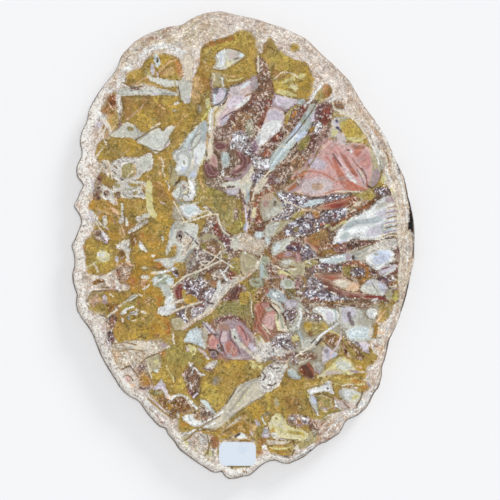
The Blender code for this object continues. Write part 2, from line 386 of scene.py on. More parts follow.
# %% Large forms: arms above the middle
draw("forms", """
cocoa 255,58 7,-1 5,7 4,12 3,12 -1,6 -4,5 -5,2 -11,-4 -2,-5 7,-4 1,-8
cocoa 251,94 7,4 7,1 6,-1 1,6 -7,8 -1,7 -6,11 -3,4 -4,12 -5,4 -10,1 -7,-2 -1,-5 -6,-4 -8,-2 -2,-6 4,-3
  8,-1 5,-6 2,-6 14,-11 5,-5
lavender 212,88 16,-.5 .5,5.5 -2.5,6 -3,4 -4,2.5 -6,0 -1.5,-7.5
blush 229,87 20,-7 7,-3 2,3 -6,6 0,7 -2,6 -7,7 -7,4 -10,9 -5,8 -4,1 -1,-11 3,-8 5,-4 4,-6 1,-6
cream 208,112 5,-5 9,-1 4,-3 -1,6 -6,4 -3,5 -3,22 0,12 -4,8 -4,0 1,-10 2,-10 1,-12
maroon 213,142 6,-2 7,1 3,5 -2,5 -7,1.5 -5,-1.5 -3,-4
pearl 276,94 10,3 12,2 -2,4 -9,7 -14,-6 1,-6
blush 266,111 5,-4 6,0 7,5 2,5 -2,6 -4,7 -15,13 -5,4.5 -3,-.5 -2,-7 2,-6 4,-5 3,-8
aqua 297,100 8,-1.5 -1,5.5 -5,3 -3,-3
mustard 303,104 -5,2 -5,4 -4,7 -2,8 -3,-1 1,-8 4,-6 7,-5
garnet 311,99 -11,8 -6,11 -10,12 -13,9 -9,8 -5,7 4,4 7,-1 5,-6 10,-10 8,-9 9,-12 7,-13 5,-5
aqua 311,103 5,0 2,4 -1,7 -8,16 -5,6 -6,5 -6,7 -5,8 -10,12 -6,4 -4,-4 0,-5 3,-6 6,-8 15,-17 9,-11
garnet 317,100 8,2 7,-3 2,9 -3,11 -3,7 -7,0 -5,-2 -2,-7
cocoa 309,131 7,-7 6,2 0,6 -7,13 -5,7 -4,8 -11,13 -7,4 -9,2 -2,-8 6,-9 10,-13 12,-12
heather 321,129 7,-1 6,1 -4,9 -8,9 -5,10 -5,7 -8,7 -14,8 2,-5 8,-6 7,-8 11,-20
olive 315,90 6,-2 3,7 -2,9 -5,-1 -3,-7
amber 323,85 5,-2 3,5 0,7 -4,3 -4,-5
stone 329,131 3,-5 6,0 3,4 -2,7 -5,2 -4,-3
lavender 332,119 9,-2 2,7 -2,6 -6,-3 -4,-3
earth 333,101 7,0 5,6 -4,3 -6,-3
""")

# %% Large forms: the star's upper half
draw("forms", """
druse 251,155 18,3 1,6 -2,6 -6,1 -7,-1 -4,-6
cocoa 277,164 7,-4 6,4 -1,12 -5,6 -8,-2 -4,-4 2,-6
fig 266,177 5,-4 6,3 4,7 -5,5 -7,2 -4,-6
slate 250,172 11,-2 4,5 -10,11 -5,-2
cream 269,176 -3,8 -9,11 -4,-2 4,-7 6,-6
earth 270,184 8,1 13,-2 -3,7 -7,2 -8,1 -5,-3
clay 284,193 2,-5 13,-12 5,1 -1,7 -6,6 -6,3
putty 261,197 6,-4 7,1 9,10 1,5 -5,5 -7,4 -4,4 -6,0 -2,-8 0,-9
slate 275,191 11,1 10,3 14,3 12,-2 12,-3 13,0 5,1 -8,5 -12,3 -24,5 -18,3 -7,-6 -5,-6
druse 285,208 6,-2 7,2 3,3 -9,6 -9,4 -8,0 -3,-2
olive 291,216 6,-5 7,-1 1,5 -6,4 -7,3
drab 280,220 11,-1 1,4 -6,4 -11,10 -8,-2 -4,-5 0,-5
brick 314,208 14,-6 10,-2 14,-5 7,1 -2,6 -14,8 -9,1 -16,-1
amber 312,212 5,-2 4,3 -1,6 -5,1 -3,-3
slate 284,228 8,-7 7,-3 6,-4 7,-1 5,7 6,-9 23,-4 4,4 -5,6 -7,4 -5,4 -21,9 -12,2 -8,0 -8,-1
dusk 373,189 7,-2 9,1 3,6 -4,3 -7,0 -5,-2
pink 328,140 6,-1 11,4 5,-1 14,2 5,4 3,4 3,6 2,6 1,6 0,6 -2,6 -4,4 -6,4 -20,2.5 -16,2.5 -16,2 -14,-3 -6,-2
  5,-7 4,-9 7,-10 5,-10
drab 369,149 4,2 4,6 3,7 2,7 -1,7 -3,6 -5,5 -4,-1 4,-22
stone 379,158 4,0 3,4 -1,6 -3,3 -3,-3
olive 351,194 20,-4 5,4 1,5 -6,4 -7,2 -3,-6
earth 345,214 6,-7 7,-6 6,-1 7,1 -4,5 -15,8
milk 332,243 5,-11 4,-5 9,-8 6,-4 7,-2 6,-3.5 11,-11 6,-3 5,1.5 3,5 0,8 2,10 1,12 -5,4 -16,4 -10,0 -8,-1
  -6,1 -6,4 -6,1 -5,0
mist 240,184 12,-4 0,6 -3,6 -6,2 -3,-4
cream 251,163 4,3 -2,8 -4,8 -6,4 -5,-4 11,-12
""")

# %% Large forms: the star's lower half
draw("forms", """
ice 264,237 5,-2 2,5 -2,6 -4,-1
mist 271,248 3,-7 8,-1 8,-3 7,0 -14,15 -2,5 -6,0 -4,-4
fig 284,248 6,-7 8,-2 5,4 3,6 -2,5 -5,-2 -9,-1
slate 300,250 4,-5 7,1 5,6 1,6 -14,5 -2,-6
clay 271,259 10,-7 5,0 6,-2 3,3 -3,5 -8,0 -7,2 -2,5 -4,-1
heather 294,251 6,1 2,7 1,8 -6,2 -2,-9
putty 278,263 5,-4 8,-1.5 5,3.5 -1,5 -7,2 -6,0
sage 259,258 5,-3 5,2 2,6 -1,7 1,8 -8,1 -4,-9
taupe 269,262 4,2 4,4 1,6 -4,8 -4,2 -1,-8
drab 289,263 14,-2 3,7 -3,10 -8,3 -5,-5
straw 277,271 7,-2 9,1 -1,5 -8,2 -6,-1
pale 280,280 8,-2 7,3 0,8 -8,2 -7,-4
taupe 295,276 5,-2 3,6 -1,8 -5,3 -2,-6
olive 303,260 8,-1 7,1 0,5 -7,3 -6,-1
rust 303,238 7,-2 8,-1 9,1 3,5 -4,6 4,5 -5,4 -7,-2 -6,-6 -7,-4
bronze 317,249 9,-2 8,2 8,-2 6,3 -17,6 -9,1 -5,-3
garnet 335,244 18,-4 22,2 -2,4 -9,3 -22,5 -8,-2 -3,-4
ice 319,258 21,-3 10,-2.5 6,-2.5 6,1 4,3 -3,4 -12,4 -6,-1 -8,3 -11,0 -7,-2
stone 350,251 7,-2 9,-4 6,-1 2,4 -5,5 -3,7 -8,2 -7,-2
milk 365,258 4,-5 9,-4 9,-1.5 6,2.5 2,6 -3,7 -7,3 -5,4 -5,0 -8,-7
lavender 378,272 6,-5 7,-3 6,0 -1,6 -15,6
maroon 393,246 4,-1 3,5 0,12 -4,0 -1,-8
bronze 340,267 4,-5 8,-2 8,1 7,5 5,5 2,4 -13,10 -7,-4 -8,-3 -5,-5
dusk 308,269 6,-4 7,-2 11,1 10,2 0,6 -8,1 -12,-1 -10,2
clay 313,274 8,-2 11,2 9,-1 5,5 6,3 -2,8 -8,1 -15,-8 -9,-2
cream 332,280 6,-2 13,4 -1,5 -7,1 -7,-3
peach 350,283 6,-3 4,5 -2,6 -8,1 -6,-2
wine 322,280 16,9 22,4 14,2 14,3 2,2 -14,0 -18,-2 -14,-2 -10,-4 -8,-5
pale 360,288 4,-5 5,-4 5,-1 3,4 1,8 2,6 -18,-4
lavender 374,279 6,2 6,3 3,5 -3,5 -5,2 -4,-5 -3,-6
dusk 378,277 10,-2 4,5 -2,6 -4,-3 -6,-2
slate 298,291 5,-5 4,-7 6,-3 8,5 15,12 10,4 -8,4 -12,-1 -9,1 -11,-4
steel 264,292 7,-4 9,2 6,6 4,6 -6,2 -8,-2 -7,-4
moss 284,289 8,-1 5,4 -3,6 -7,-2
lavender 284,301 7,-2 7,2 0,6 -8,2 -6,-3
frost 374,244 6,-3 8,-2 8,-1 2,6 -2,6 -8,-2 -14,2 -8,4 2,-5
cocoa 300,298 12,2 14,2 16,2 16,0 14,-2 0,5 -14,2 -16,0 -16,-2 -14,-2 -12,-2
mist 263,229 5,-5 6,-3 7,2 -9,14 -6,2
""")

# %% Large forms: the pale network and the grainy heart
draw("forms", """
hazel 198,246 2,-12 5,-10 9,-7 5,-1 3,8 6,8 8,4 0,16 7,16 -3,12 -9,7 -11,12 -12,13 -12,8 -10,7 -7,-7 -5,-9
  -1,-24 10,-10 6,-15
olive 200,196 36,0 0,9 -4,25 -10,-6 -3,-11 -11,0 -8,6 -4,-3 4,-8
pale 171,226 4,-5 6,-.5 6,2.5 6,0 5,1 1,5 -2,6 2,6 0,4 -4,3 -8,11 -10,7 -5,2 -6,0 -8,-6 -6,-2 8,-1.5 8,0
  7,-1.5 2,-5 0,-8 -5,2 -3,6 -3,4 0,-6 2,-7
pale 187,226 5,-3 5,1 2,4 -2,6 -4,4 -4,-5 -4,-3
stone s1.5 173,223 7,-2 6,3 -1,5 -7,1 -5,-1
gold 172,246 5,-2 0,8 -3,5 -3,-4
ash 194,248 10,-4 6,6 3,8 -3,5 -10,2 -8,-5
fig 220,234 8,1 6,5 0,10 -5,2 -9,-12
pale 232,236 5,-1 0,17 -4,-1
brown 173,264 11,-1 3,5 -4,7 -5,4 -5,-7
sage 153,278 5,-5 7,0 7,3 0,8 -7,4 -9,0 -4,-4
ice 166,279 4,-2 4,2 0,5 -4,2 -3,-2
wine 172,288 6,-4 4,-1 1,9 -2,9 -4,-1 -3,-5
dusk 184,281 8,-4 11,1 4,20 -7,2 -10,-5 -6,-5
gold 184,297 6,-3 7,3 1,6 -8,2 -6,-2
druse 206,290 7,-3 9,3 -2,7 -7,9 -6,6 -6,0 -2,-8
slate 176,313 8,-3 4,14 -5,1 -5,-5
druse 190,309 10,-2 6,3 -6,6 -7,4 -3,-4
milk 160,307 5,-2 1,-10 3,-4 4,2 1,10 3,6 -4,4 -6,3 -7,-1 -3,-4
drab 171,319 8,-2 6,5 0,7 -8,2 -6,-5
ice 184,341 4,-10 4,-2 7,-2 3,5 3,13 0,5 -6,-4 -4,-2 -4,-1 -4,0
lavender 202,322 6,1 6,8 3,6 -6,-1 -6,-5
drab 241,251 5,0 10,5 4,5 -1,6 -4,4 -5,3 -6,2 -4,-8 -1,-10
olive 231,258 8,-1 2,11 -1,7 -6,1 -4,-8
garnet 222,301 11,-14 5,-4 6,2 3,4 -5,3 -3,5 -1,5 -8,1
moss 218,305 6,-4 14,0 3,-9 9,-1 3,9 -1,10 2,8 -4,4 -8,-4 -12,-3 -14,3 -6,-3
sage 249,278 9,-1 6,2 0,7 -8,2 -7,-3
garnet 213,322 5,-4 10,-4 10,2 5,4 3,5 -10,-3 -10,0 -8,4 -4,1
brown 245,317 7,0 2,7 -1,7 -5,-2
brick 253,306 3,-3 6,-1 6,1 3,3 -5,3 -2,4 -2,7 0,6 6,7 3,8 -2,6 -4,-3 -4,-7 -8,-9 3,-8 -1,-8
pink 263,318 4,-5 5,-2 4,3 0,9 -3,7 -6,-1 -5,-6
cream 271,303 4,2 5,4 8,22 -5,1 -5,-2 -2,-7 1,-8
mauve 217,327 5,-5 8,-2 10,1 8,6 4,6 4,9 2,10 -2,6 -10,2 -10,-1 -10,0 -6,-7 -5,-2 -2,-10 3,-6
rose 208,338 4,-3 5,2 2,5 -2,6 -5,2 -4,-3
plum 210,351 4,-1 4,2 -1,6 -5,1 -3,-4
cream 254,333 6,0 6,10 2,7 -6,1 -6,-6
frost 203,312 10,-17 5,-7 15,-9 7,-2 -4,6 -14,15 -15,19
frost 249,352 5,-5 8,-4 7,-2 5,4 2,7 -4,6 -8,4 -8,-1 -6,-4
putty 203,327 3,2 3,6 0,7 -3,6 -1.5,-4 -1.5,-8 -2,-6
""")

# %% Large forms: upper left
draw("forms", """
russet 113,92 2,1 2,7 0,10 1,6 -3,2 -9,-2 -4,-3 -2,-3 10,-16
honey 106,119 4,-1 6,1 2,1 0,4 -7,7 -1,-4
russet 107,127 2,3 .5,6 -.5,3 -2,1 -2,-3 0,-5
frost 116,93 4,1 2,14 -2,11 -2,-2 -2,-17
pale 117,91 7,-3 9,1 17,-2 20,4 8,2 0,2.5 -18,-.5 -20,0 -18,1 -4,-1
frost 179,80 11,-1 1,11 -1,13 -5,1 -5,-6 -2,-10
pale 146,76 4,-1 5,3 7,0 8,2 10,0 0,7 -5,-1 -9,1 -6,-2 -6,-3 -6,-2
cream 184,54 8,-2 1,10 -1,10 -2,8 -4,0 -4,-18
olive s2 143,71 7,-4 3,3 0,6 -8,0
amber s1.5 177,57 4,7 3,10 -2,4.5 -5,-.5 0,-8 -2,-9
pale 136,142 4,-4 6,-3.5 5,-4 9,-2.5 3,3.5 2,-3.5 11,-3 -5,9 -3,4 2,3 0,2 -2,3 -10,7.5 -3,-.5 -7,-6
mist 110,136 3,-3.5 4,-2.5 6,-6 4,-2.5 2,1.5 4,1 6,6 2,3 7,-1 -3,4 -7,3 -4,0 -8,-2 -8,.5
beige 98,161 10,-1 2,6 1,7 -3,4 -5,-4 -3,-5
frost 112,161 6,-1.5 4,-2.5 17,1 10,-6 2,1 2,6 0,5 -1,5 -3,2 -6,2 -2,4 -5,3.5 -8,1.5 -6,0 -6,-1.5 -3,-3.5
  -5,-9
frost 119,191 4,-2 15,-1.5 4,2.5 5,6 -2,3 -7,-1.5 -10,1 -7,-.5
cocoa 96,178 5,0 1,10 -1,12 -4,1 -4,-3 0,-5 2,-6
frost 101,184 5,2 8,5 0,7 4,5 -4,2 -6,-5 -6,-2
mist 207,120 1,7 -1,8 0,15 -3,13 -4,3 -2,5 -1,7 -4,2 -4,-1 -3,-3 -4,-1 -4,2 -3,-3 0,-6 2,-5 -4,-5 -1,-5
  2,-3 4,-1 6,-9 8,-10 9,-8
pale 174,199 -2.5,-4 1,-5 3.5,-1 1,-4 2,-3 3,-1.5 4,.5 2,4 1,5 -1,5 -4,1 -2,3 -4,1
milk 188,179 5,-1 2.5,4 0,15 -2.5,3 -5,1.5 -4,-.5 -2,-2.5 2,-2.5 3,-1.5 2.5,-2.5
sage 176,200.5 7,.5 7,2 9,-1.5 1,2.5 -18,2 -4,-2
putty 173,206 5,2 3,5 2,6 -5,3 -6,-4
milk 179,206 4,-1.5 7,-1 6,.5 7,8 -5,3 -11,4.5 -3,-1.5 -3,-6
frost 112,188 4,-6 8,-2 18,1 6,3 -2,4 -22,2 -10,3
""")

# %% Large forms: left
draw("forms", """
honey 96,203 8,-3 6,2 6,5 4,6 0,5 -20,-6 -6,-4
cocoa 93,231 6,-2 7,2 3,7 -1,8 -7,-5 -7,-3
frost 103,216 4,-1 -1,5 2,3 -3,3 -3,-4
frost 118,223 4,-10 3,3 -1,5 -3,4
frost 134,217 6,-1 3,2 -3,4 -3,2
mist 141,215 9,-3 1,4 -5,3 -5,1
frost 127,232 13,-8.5 8,-4 1,2.5 -20,12
frost 115,247 4,-4 5,-3 3,1 2,-3.5 1.5,5.5 -1.5,3 2.5,4 -2.5,3 0,5 2,6 -5,-2 0,-7 -3,-5 -4,-1
milk 138,244 2,-3.5 8,11 -2,1 -7,-4.5
rind 104,285 2,-6 4,-3 3,-1 3,-5 3,0 2,6 7,9 2,5 -18,1 -19,-1
frost 140,276 5,-1.5 5,2 -1,3 -6,-.5
amber s1.5 140,281 4,-1.5 4,1.5 0,4 -4,3 -4,-2
pale 125,301 3,-3 8,-4.2 2.5,2.2 -8.5,6
milk 129,313 3,2 4,.5 2.5,-3.5 -3.5,-1 -3,.5
milk 120,313.5 4,-3 3,.5 -1,3 -5,1
cocoa 106,318 4,-3 5,-1 3,4 -2,7 -3,4 -3,2 -3,-3
dusk 106,333 3,-3 3,0 2,5 1,5 -2,4 -4,-1 -3,-2 2,-4
tawny s2 117,268 7,-5 7,1 1,7 -5,11 -7,2 -4,-6
aqua s2 158,284 8,0 6,4 0,7 -6,3 -4,-6
""")

# %% Large forms: the middle
draw("forms", """
beige 233,238 3,-4 8,-2 14,7 6,1 4,4 0,4 -3,3 -3,1 -2,5 -8,-5 -10,-2 -5,0 -5,-1 -2,-3
ice 254,234 3,-3.5 4,-.5 3,3 -2,5 -5,1 -2.5,-2
steel 246,190 4,-1 0,10 -2,6 -4,1 -2,-4 3,-5
taupe 249,206 5,-1 2,7 0,10 -5,1 -3,-7
bronze 249,223 5,-1 1,6 -2,5 -5,0
bluish 245,223 3,-1 1,5 -2,4 -4,-1
""")

# %% Large forms: lower right
draw("forms", """
pale s1.5 297,304 6,-1 1,9 -2,8 -4,10 -6,2 -4,-2 6,-6 4,-8
hazel 303,303 11,0 2,5 -4,4 -2,6 -5,4 -3,-6
dusk 310,314 6,-1 6,2 1,5 -7,1.5 -5,-2.5
milk 311,311 4,-4 6,-1 7,1 5,3 4,1 2,4 -1,5 -4,4 -5,0 -4,-4 -3,-5
mist 338,306 12,0 12,3 4,3 -4,4 10,5 0,6 -12,-1 -8,1 -7,4 -5,-4 -2,-7 2,-6
milk 366,312 3,-3.5 6,0 2.5,2.5 -1.5,5 -4,3.5 -5,-2.5
ochre 378,308 6,-4 8,0 1,4 -6,10 -4,4 -5,0 -2,-4 3,-5
ice 345,332 3,-4 5,-2 7,-1 7,1 5,2 2,3 -1,5 -3,3 -6,2 -7,0 -7,-1 -3,-3
slate 350,341 8,0 3,5 -4,3
pearl 358,343 6,-2 5,2 0,7 1,3 -5,0 -4,-4
olive 303,326 2,-4 5,-1 6,1 6,-2 8,9 -3,2 -7,1 -6,4 -5,0 -5,-6
bronze 325,335 6,-4 6,2.5 3.5,3.5 -1.5,5 -3,6 -2,2.5 -13,-9.5
olive 319,343 3,-2 15,13 -4,2 -6,-6 -6,-4
bronze 342,334 14,13 9,9 -3,4 -8,0 -6,-4 -4,-4 -3,-6 0,-6
lavender 323,346 6,-1 5,6 4,2 -2,4 -10,6 -4,-1
druse 270,340 8,-6 10,-1 8,3 2,7 -2,7 -8,2 -16,-2
taupe 270,350 10,-1 10,1 2,8 -6,6 -10,-1 -6,-5
mustard 291,337 4,-3 4,2 .5,4 -2.5,3 -4,-1
aqua 296,329 4,2 4,6 2,5 -4,2.5 -3,-6.5
mist 304,338 6,-1 6,4 0,7 -7,3 -6,-1 -3,-5
cocoa 298,354 7,-3 7,0 5,4 -1,5 -10,0 -6,-1
fig 290,352 8,0 1,8 -2,6 -6,-2
chestnut 297.5,369 10.5,-6 3.5,-1 2.5,8 2.5,5 -2.5,5 -9,-2 -5,-5
aqua 286,370 6,-2 5,4 5,7 -6,.5 -7,-2.5
stone 312,362 7,-1 4,2 2,5 -4,4 -5,-1
straw 316,378 17,-18 5,-3 7,0 6,4 4,5 2,6 -5,3 -16,-1
mustard 320,379 10,-4 10,1 10,2 8,-1 8,3 2,4 -6,2 -22,-1 -18,-1
milk 307,391 5,-3 6,-1 6,-3 4,-3.5 3.5,0 1.5,9.5 2,5 -8,-4 -13,2 -3,3
olive 313,395 9,-1.5 7,1.5 5,4 -2,5 1,4 -6,3 -6,2 -3,-2 -1,-8
mist 309,395 5,-1 4,10 0,8 1,3 -4,-2 -6,-11
shell 334,402 4,-3 18,5 -2,5 -8,1 -5,-1 -5,-3
pale 338,391 4,-3 6,-1 6,2 4,3 5,1 1,4 -3,4 -6,2 -7,-1 -7,-4
straw 268,424 2,-5 5,-5 6,-1 6,11 6,4 8,1 6,3 2,4 -3,4 -6,1.5 -15,-2.5 -7,-2 -6,-4 -3,-4
pearl 261,437 2,-6 3,-5.5 3,3.5 0,5 1,3 -4,1
cream 266,441 8,-1 17,2 -6,3 -17,-.5
gold 268,445 6,-1 8,1 11,-3 2,7 -4,6 -7,1 -8,-1 -6,-3
olive 295,446 5,-4 13,-4 4,-2 -1,4 -11,8
taupe 288,415 8,-1 15,3 1,6 -9,2 -4,3 -8,-2 -4,-5
cocoa 311,419 5,2 2,7 1,8 -4,1 -8,-13
""")

# %% Large forms: the beige vein and the bottom
draw("forms", """
bone 288,363 -3,1 -11,0 -8,2 2,4 -6,4 -4,4 -6,1 -11,5 -6,4 -2,5 -4,5 -3,6 -5,6 -7,6 -9,5 -9,8 -10,5 7,0
  10,-5 11,1 6,-3 8,-6 8,-9 5,-2 10,-7 16,-10 9,-5 5,-10 7,-11
frost 259,379 3,-8 6,-5.5 8,-2 8,.5 4,3 -4,7 -3,8 -5,6 -8,4.5 -6,-.5 -2,-6
honey s2 222,424 10,-6 14,-4 10,10 0,14 -10,3 -14,-1 -12,-6
olive 221,424 5,-3 10,-5 -2,3 -6,4
bone 225,427 6,-3 8,-8 3,1 -3,4 -11,6.5
milk 231,437.5 9,-5.5 4,2 5,4.5 -9,0
lavender 254,419 3,1 4,4 -2,2 -3,-1
beige 196,438 10,-4 8,2 4,8 -1,12 -7,7 -8,-1 -8,-8
white 222,471 4,-4 7,0 8,2 2,5 -2,4 -7,2 -7,-2
fawn 243,467 7,-1 1,6 -4,3 -4,-2
olive 229,465 20,0 -1,4 -16,1
""")

# %% Large forms: lower left
draw("forms", """
beige 111,344 5,-.5 4,1.5 10,-3 10,-1 10,1 10,-.5 12,5 -12,4.5 -5,3 -5,1 -5,3 -4,4 -4,2 -13,4 -7,1 -5,-7
  -4,-8
drab 146,359 4,-3 11,-2 0,14 -4,4 -7,-1 -4,-3
taupe 133,366 14,-5 0,9 -4,3 -5,1
russet 139,374 4,-3 4,0 5,11 1.5,5 -4.5,1 -7,0 -4,-3 2,-5
pearl 152,389.5 4,-3.5 4,-5 1.5,-3 6.5,14 2,9 -4,-4 -3,-6 -3,-2 -4,1
moss 148,391 5,-1.5 5,.5 4,2 -2,3 -6,1
bronze 157,398 6,-2 7,4 6,-3 5,-1 4,2 8,8 2,4 -11,4 -4,-2 -4,6 -4,0 -9,-11
cocoa 183,378 1,-6 4,-4 2,-5 3,-1 2,5 4,5 4,2 -3,6 -1,6 2,4 -3,6 -4,4 -6,-9 -1,-6
frost 203,369 5,-5 5,-3 5,-1 -1,4 -4,5 -5,2.5
milk 181,418 5,-3 6,-2 4,7 4,1 4,-1.5 -3,5.5 -4,1.5 -5,-.5
tawny 192,411 5,0 4,2 1,5 -3,3 -3,-1.5 -3,-3.5
hazel 199,404 4,1 5,3 5,5 1,5 -4,3 -6,1 -4,-4
ice 199,400 5,-.5 3,1.5 6,9 4,4 -4,-.5 -5,-3.5
drab 181,439 3,-4 5,-2 3,1 -3,4 -5,3
""")

# %% Forms inside the forms: top
draw("insets", """
milk 216,56 2,-3 3,-2.5 4,.5 1,2.5 -2.5,2.5 1.5,7 -2,4 -4,1 -4,-1 3.5,-2 1,-4 -1,-3.5
shell s1.5 229,53 6,-1.5 5,1.5 -1,4 -6,2 -4,-1
lemon s1.5 226,61 7,-.5 3,1.5 -6,3.5 -5,.5
drab s3 212,72 8,1 6,4 -2,9 -10,1 -3,-9
mustard s2 274,83 7,-3 9,1 6,3 -4,4 -9,2 -8,-1
straw s1.5 281,83 5,-3.5 6,-3 5,1.5 -11,5.5
lemon s2 290,84 4,-1 4,4 -1,4 -5,-1 -3,-3
straw s1.5 276,91 8,-1 8,2 6,4 -6,1 -14,-3
straw 298,77.5 1,-3 3,-1.5 3,1 0,3 -3,2 -3,0
russet s1 272,69.5 5,.5 1,4 -4,2.5 -2,-2.5
brown s1.5 262,45 6,-5 2,4 -2,8 -4,2
straw s2 346,136 10,2 8,0 -2,4 -12,0 -4,-2
mustard s2 352,128 6,0 4,4 -4,4 -6,-2
mustard s3 338,118 8,1 6,5 2,8 -4,6 -6,-2 -4,-8
straw s2 205,100 5,-2 1,8 -5,4
""")

# %% Forms inside the forms: network
draw("insets", """
milk 150,280 3,-3 5,0 1,4 -5,2
""")

# %% Forms inside the forms: arms and lobes
draw("insets", """
pink 234,168 3,-3 4,0 -1,3 -4,2
steel 247,191 3,0 0,9 -3,0
""")

# %% Forms inside the forms: arms above the middle
draw("insets", """
iron 212,89 3,-2 4,0 0,4 -3,4 -2,-1
pearl s1.5 219,88 6,0 1,6 -4,6 -6,3 -2,-4 4,-5
shell s1.5 230,90 10,-3 9,0 1,6 -16,4 -5,-2
pearl s2 229,99 8,-5 8,3 -5,7 -7,4 -6,0
milk s1 250,96 0,4 -7,5 -7,4 -1,-3
cream w2.4 215,128 1,-10 3,-6 5,-4
gold w1.6 214.5,126 0,-14 4.5,-3.5
garnet 252,93 6,2 0,6 -6,6 -6,4 -8,4 -5,6 -3,7 -3,-1 2,-8 4,-6 9,-5 8,-7
cocoa s1.5 262,82 6,-2 4,6 0,7 -4,5 -6,1 -2,-8
cocoa s1.5 256,84 5,-2 1,10 -4,7 -3,-3
garnet s1.5 258,101 6,-3 6,2 -3,7 -4,5 -4,0 -3,-5
wine w3.6 271,100 -2,6 -3.5,5 -2,7 -5.5,12
earth s2 236,113 10,-2 6,3 2,9 -8,4 -8,-3
sage s1.5 246,120 6,-1 1,9 -1,11 -5,0 -2,-10
druse 232,133 6,-3 6,1 6,7 3,8 1,8 -7,3 -7,-6 -9,-2 -2,-6 4,-5
violet s1 252,137 4,4 3,8 -1,7 -5,-2 -2,-8
taupe s1.5 213,130 11,-2 10,3 -4,8 -9,0 -7,-4
lavender s1 219,121 7,-6 4,1 -4,7 -4,4
lavender s2 268,112 8,-3 7,5 -1,7 -7,3 -8,-3
milk s3 256,140 8,-16 8,-4 11,0 -3,9 -15,13 -6,5
aqua s1.5 256,136 5,-3 -1,9 -3,3
amber 296,109 1.5,3 -3.5,6 -3,0 2,-5
wine 299,110 4,-5 5,-2 0,5 -6,6
wine 273,137 6,-5 6,-1 -4,8 -6,5 -4,-2
earth s1 284,125 7,-4 2,7 -7,8 -4,-1
cocoa w3.4 263,155 5,-5 7,-4
brick s1 263,152 7,-3 1,8 -7,1
stone s1 310,105 6,-1 1,6 -2,5 -5,-1 -2,-3
pearl s1 316,109 1,4 -2,7 -4,4 -2,-3
bluish s1.5 303,118 1,6 -5,8 -10,8 2,-7
bluish s1.5 299,134 7,-4 2,3 -5,6 -7,4 -1,-5
sage s1 301,119 4,-1 2,5 -4,2 -3,-2
milk s1 288,142 7,-7 4,-2 -3,6 -7,7 -4,3
wine s1 322,110 6,-3 3,6 -2,10 -5,3 -3,-7
plum s1.5 316,106 5,-3 1,8 -2,10 -5,3 -1,-9
dusk 313,122 8,-1 1,9 -7,4 -5,-3
garnet 310,133 9,0 0,7 -5,7 -5,4 -4,-3
moss s1.5 301,139 7,-5 3,4 -4,9 -6,5 -5,-4
brown s1 309,129 7,-4 0,6 -6,2
straw s1 332,130 5,-1 1,5 -4,3 -3,-3
mauve s2 250,77 7,-2 1.5,11 -4.5,6 -3,-4 -2,-6
ice s1.5 236,88 10,-5 6,-2 -5,5 -7,4
ice w3 s1 290,143 -6,7 -11,15
lilac s1.5 337,134 6,-2 4,6 -1,6 -6,0 -4,-4
taupe s2 321,130 9,-1 0,7 -8,5 -6,9 -4,5 -2,-3 6,-10
lilac s1.5 230,87 6,-2 5,-1 0,11 -9,1 -3,-4
""")

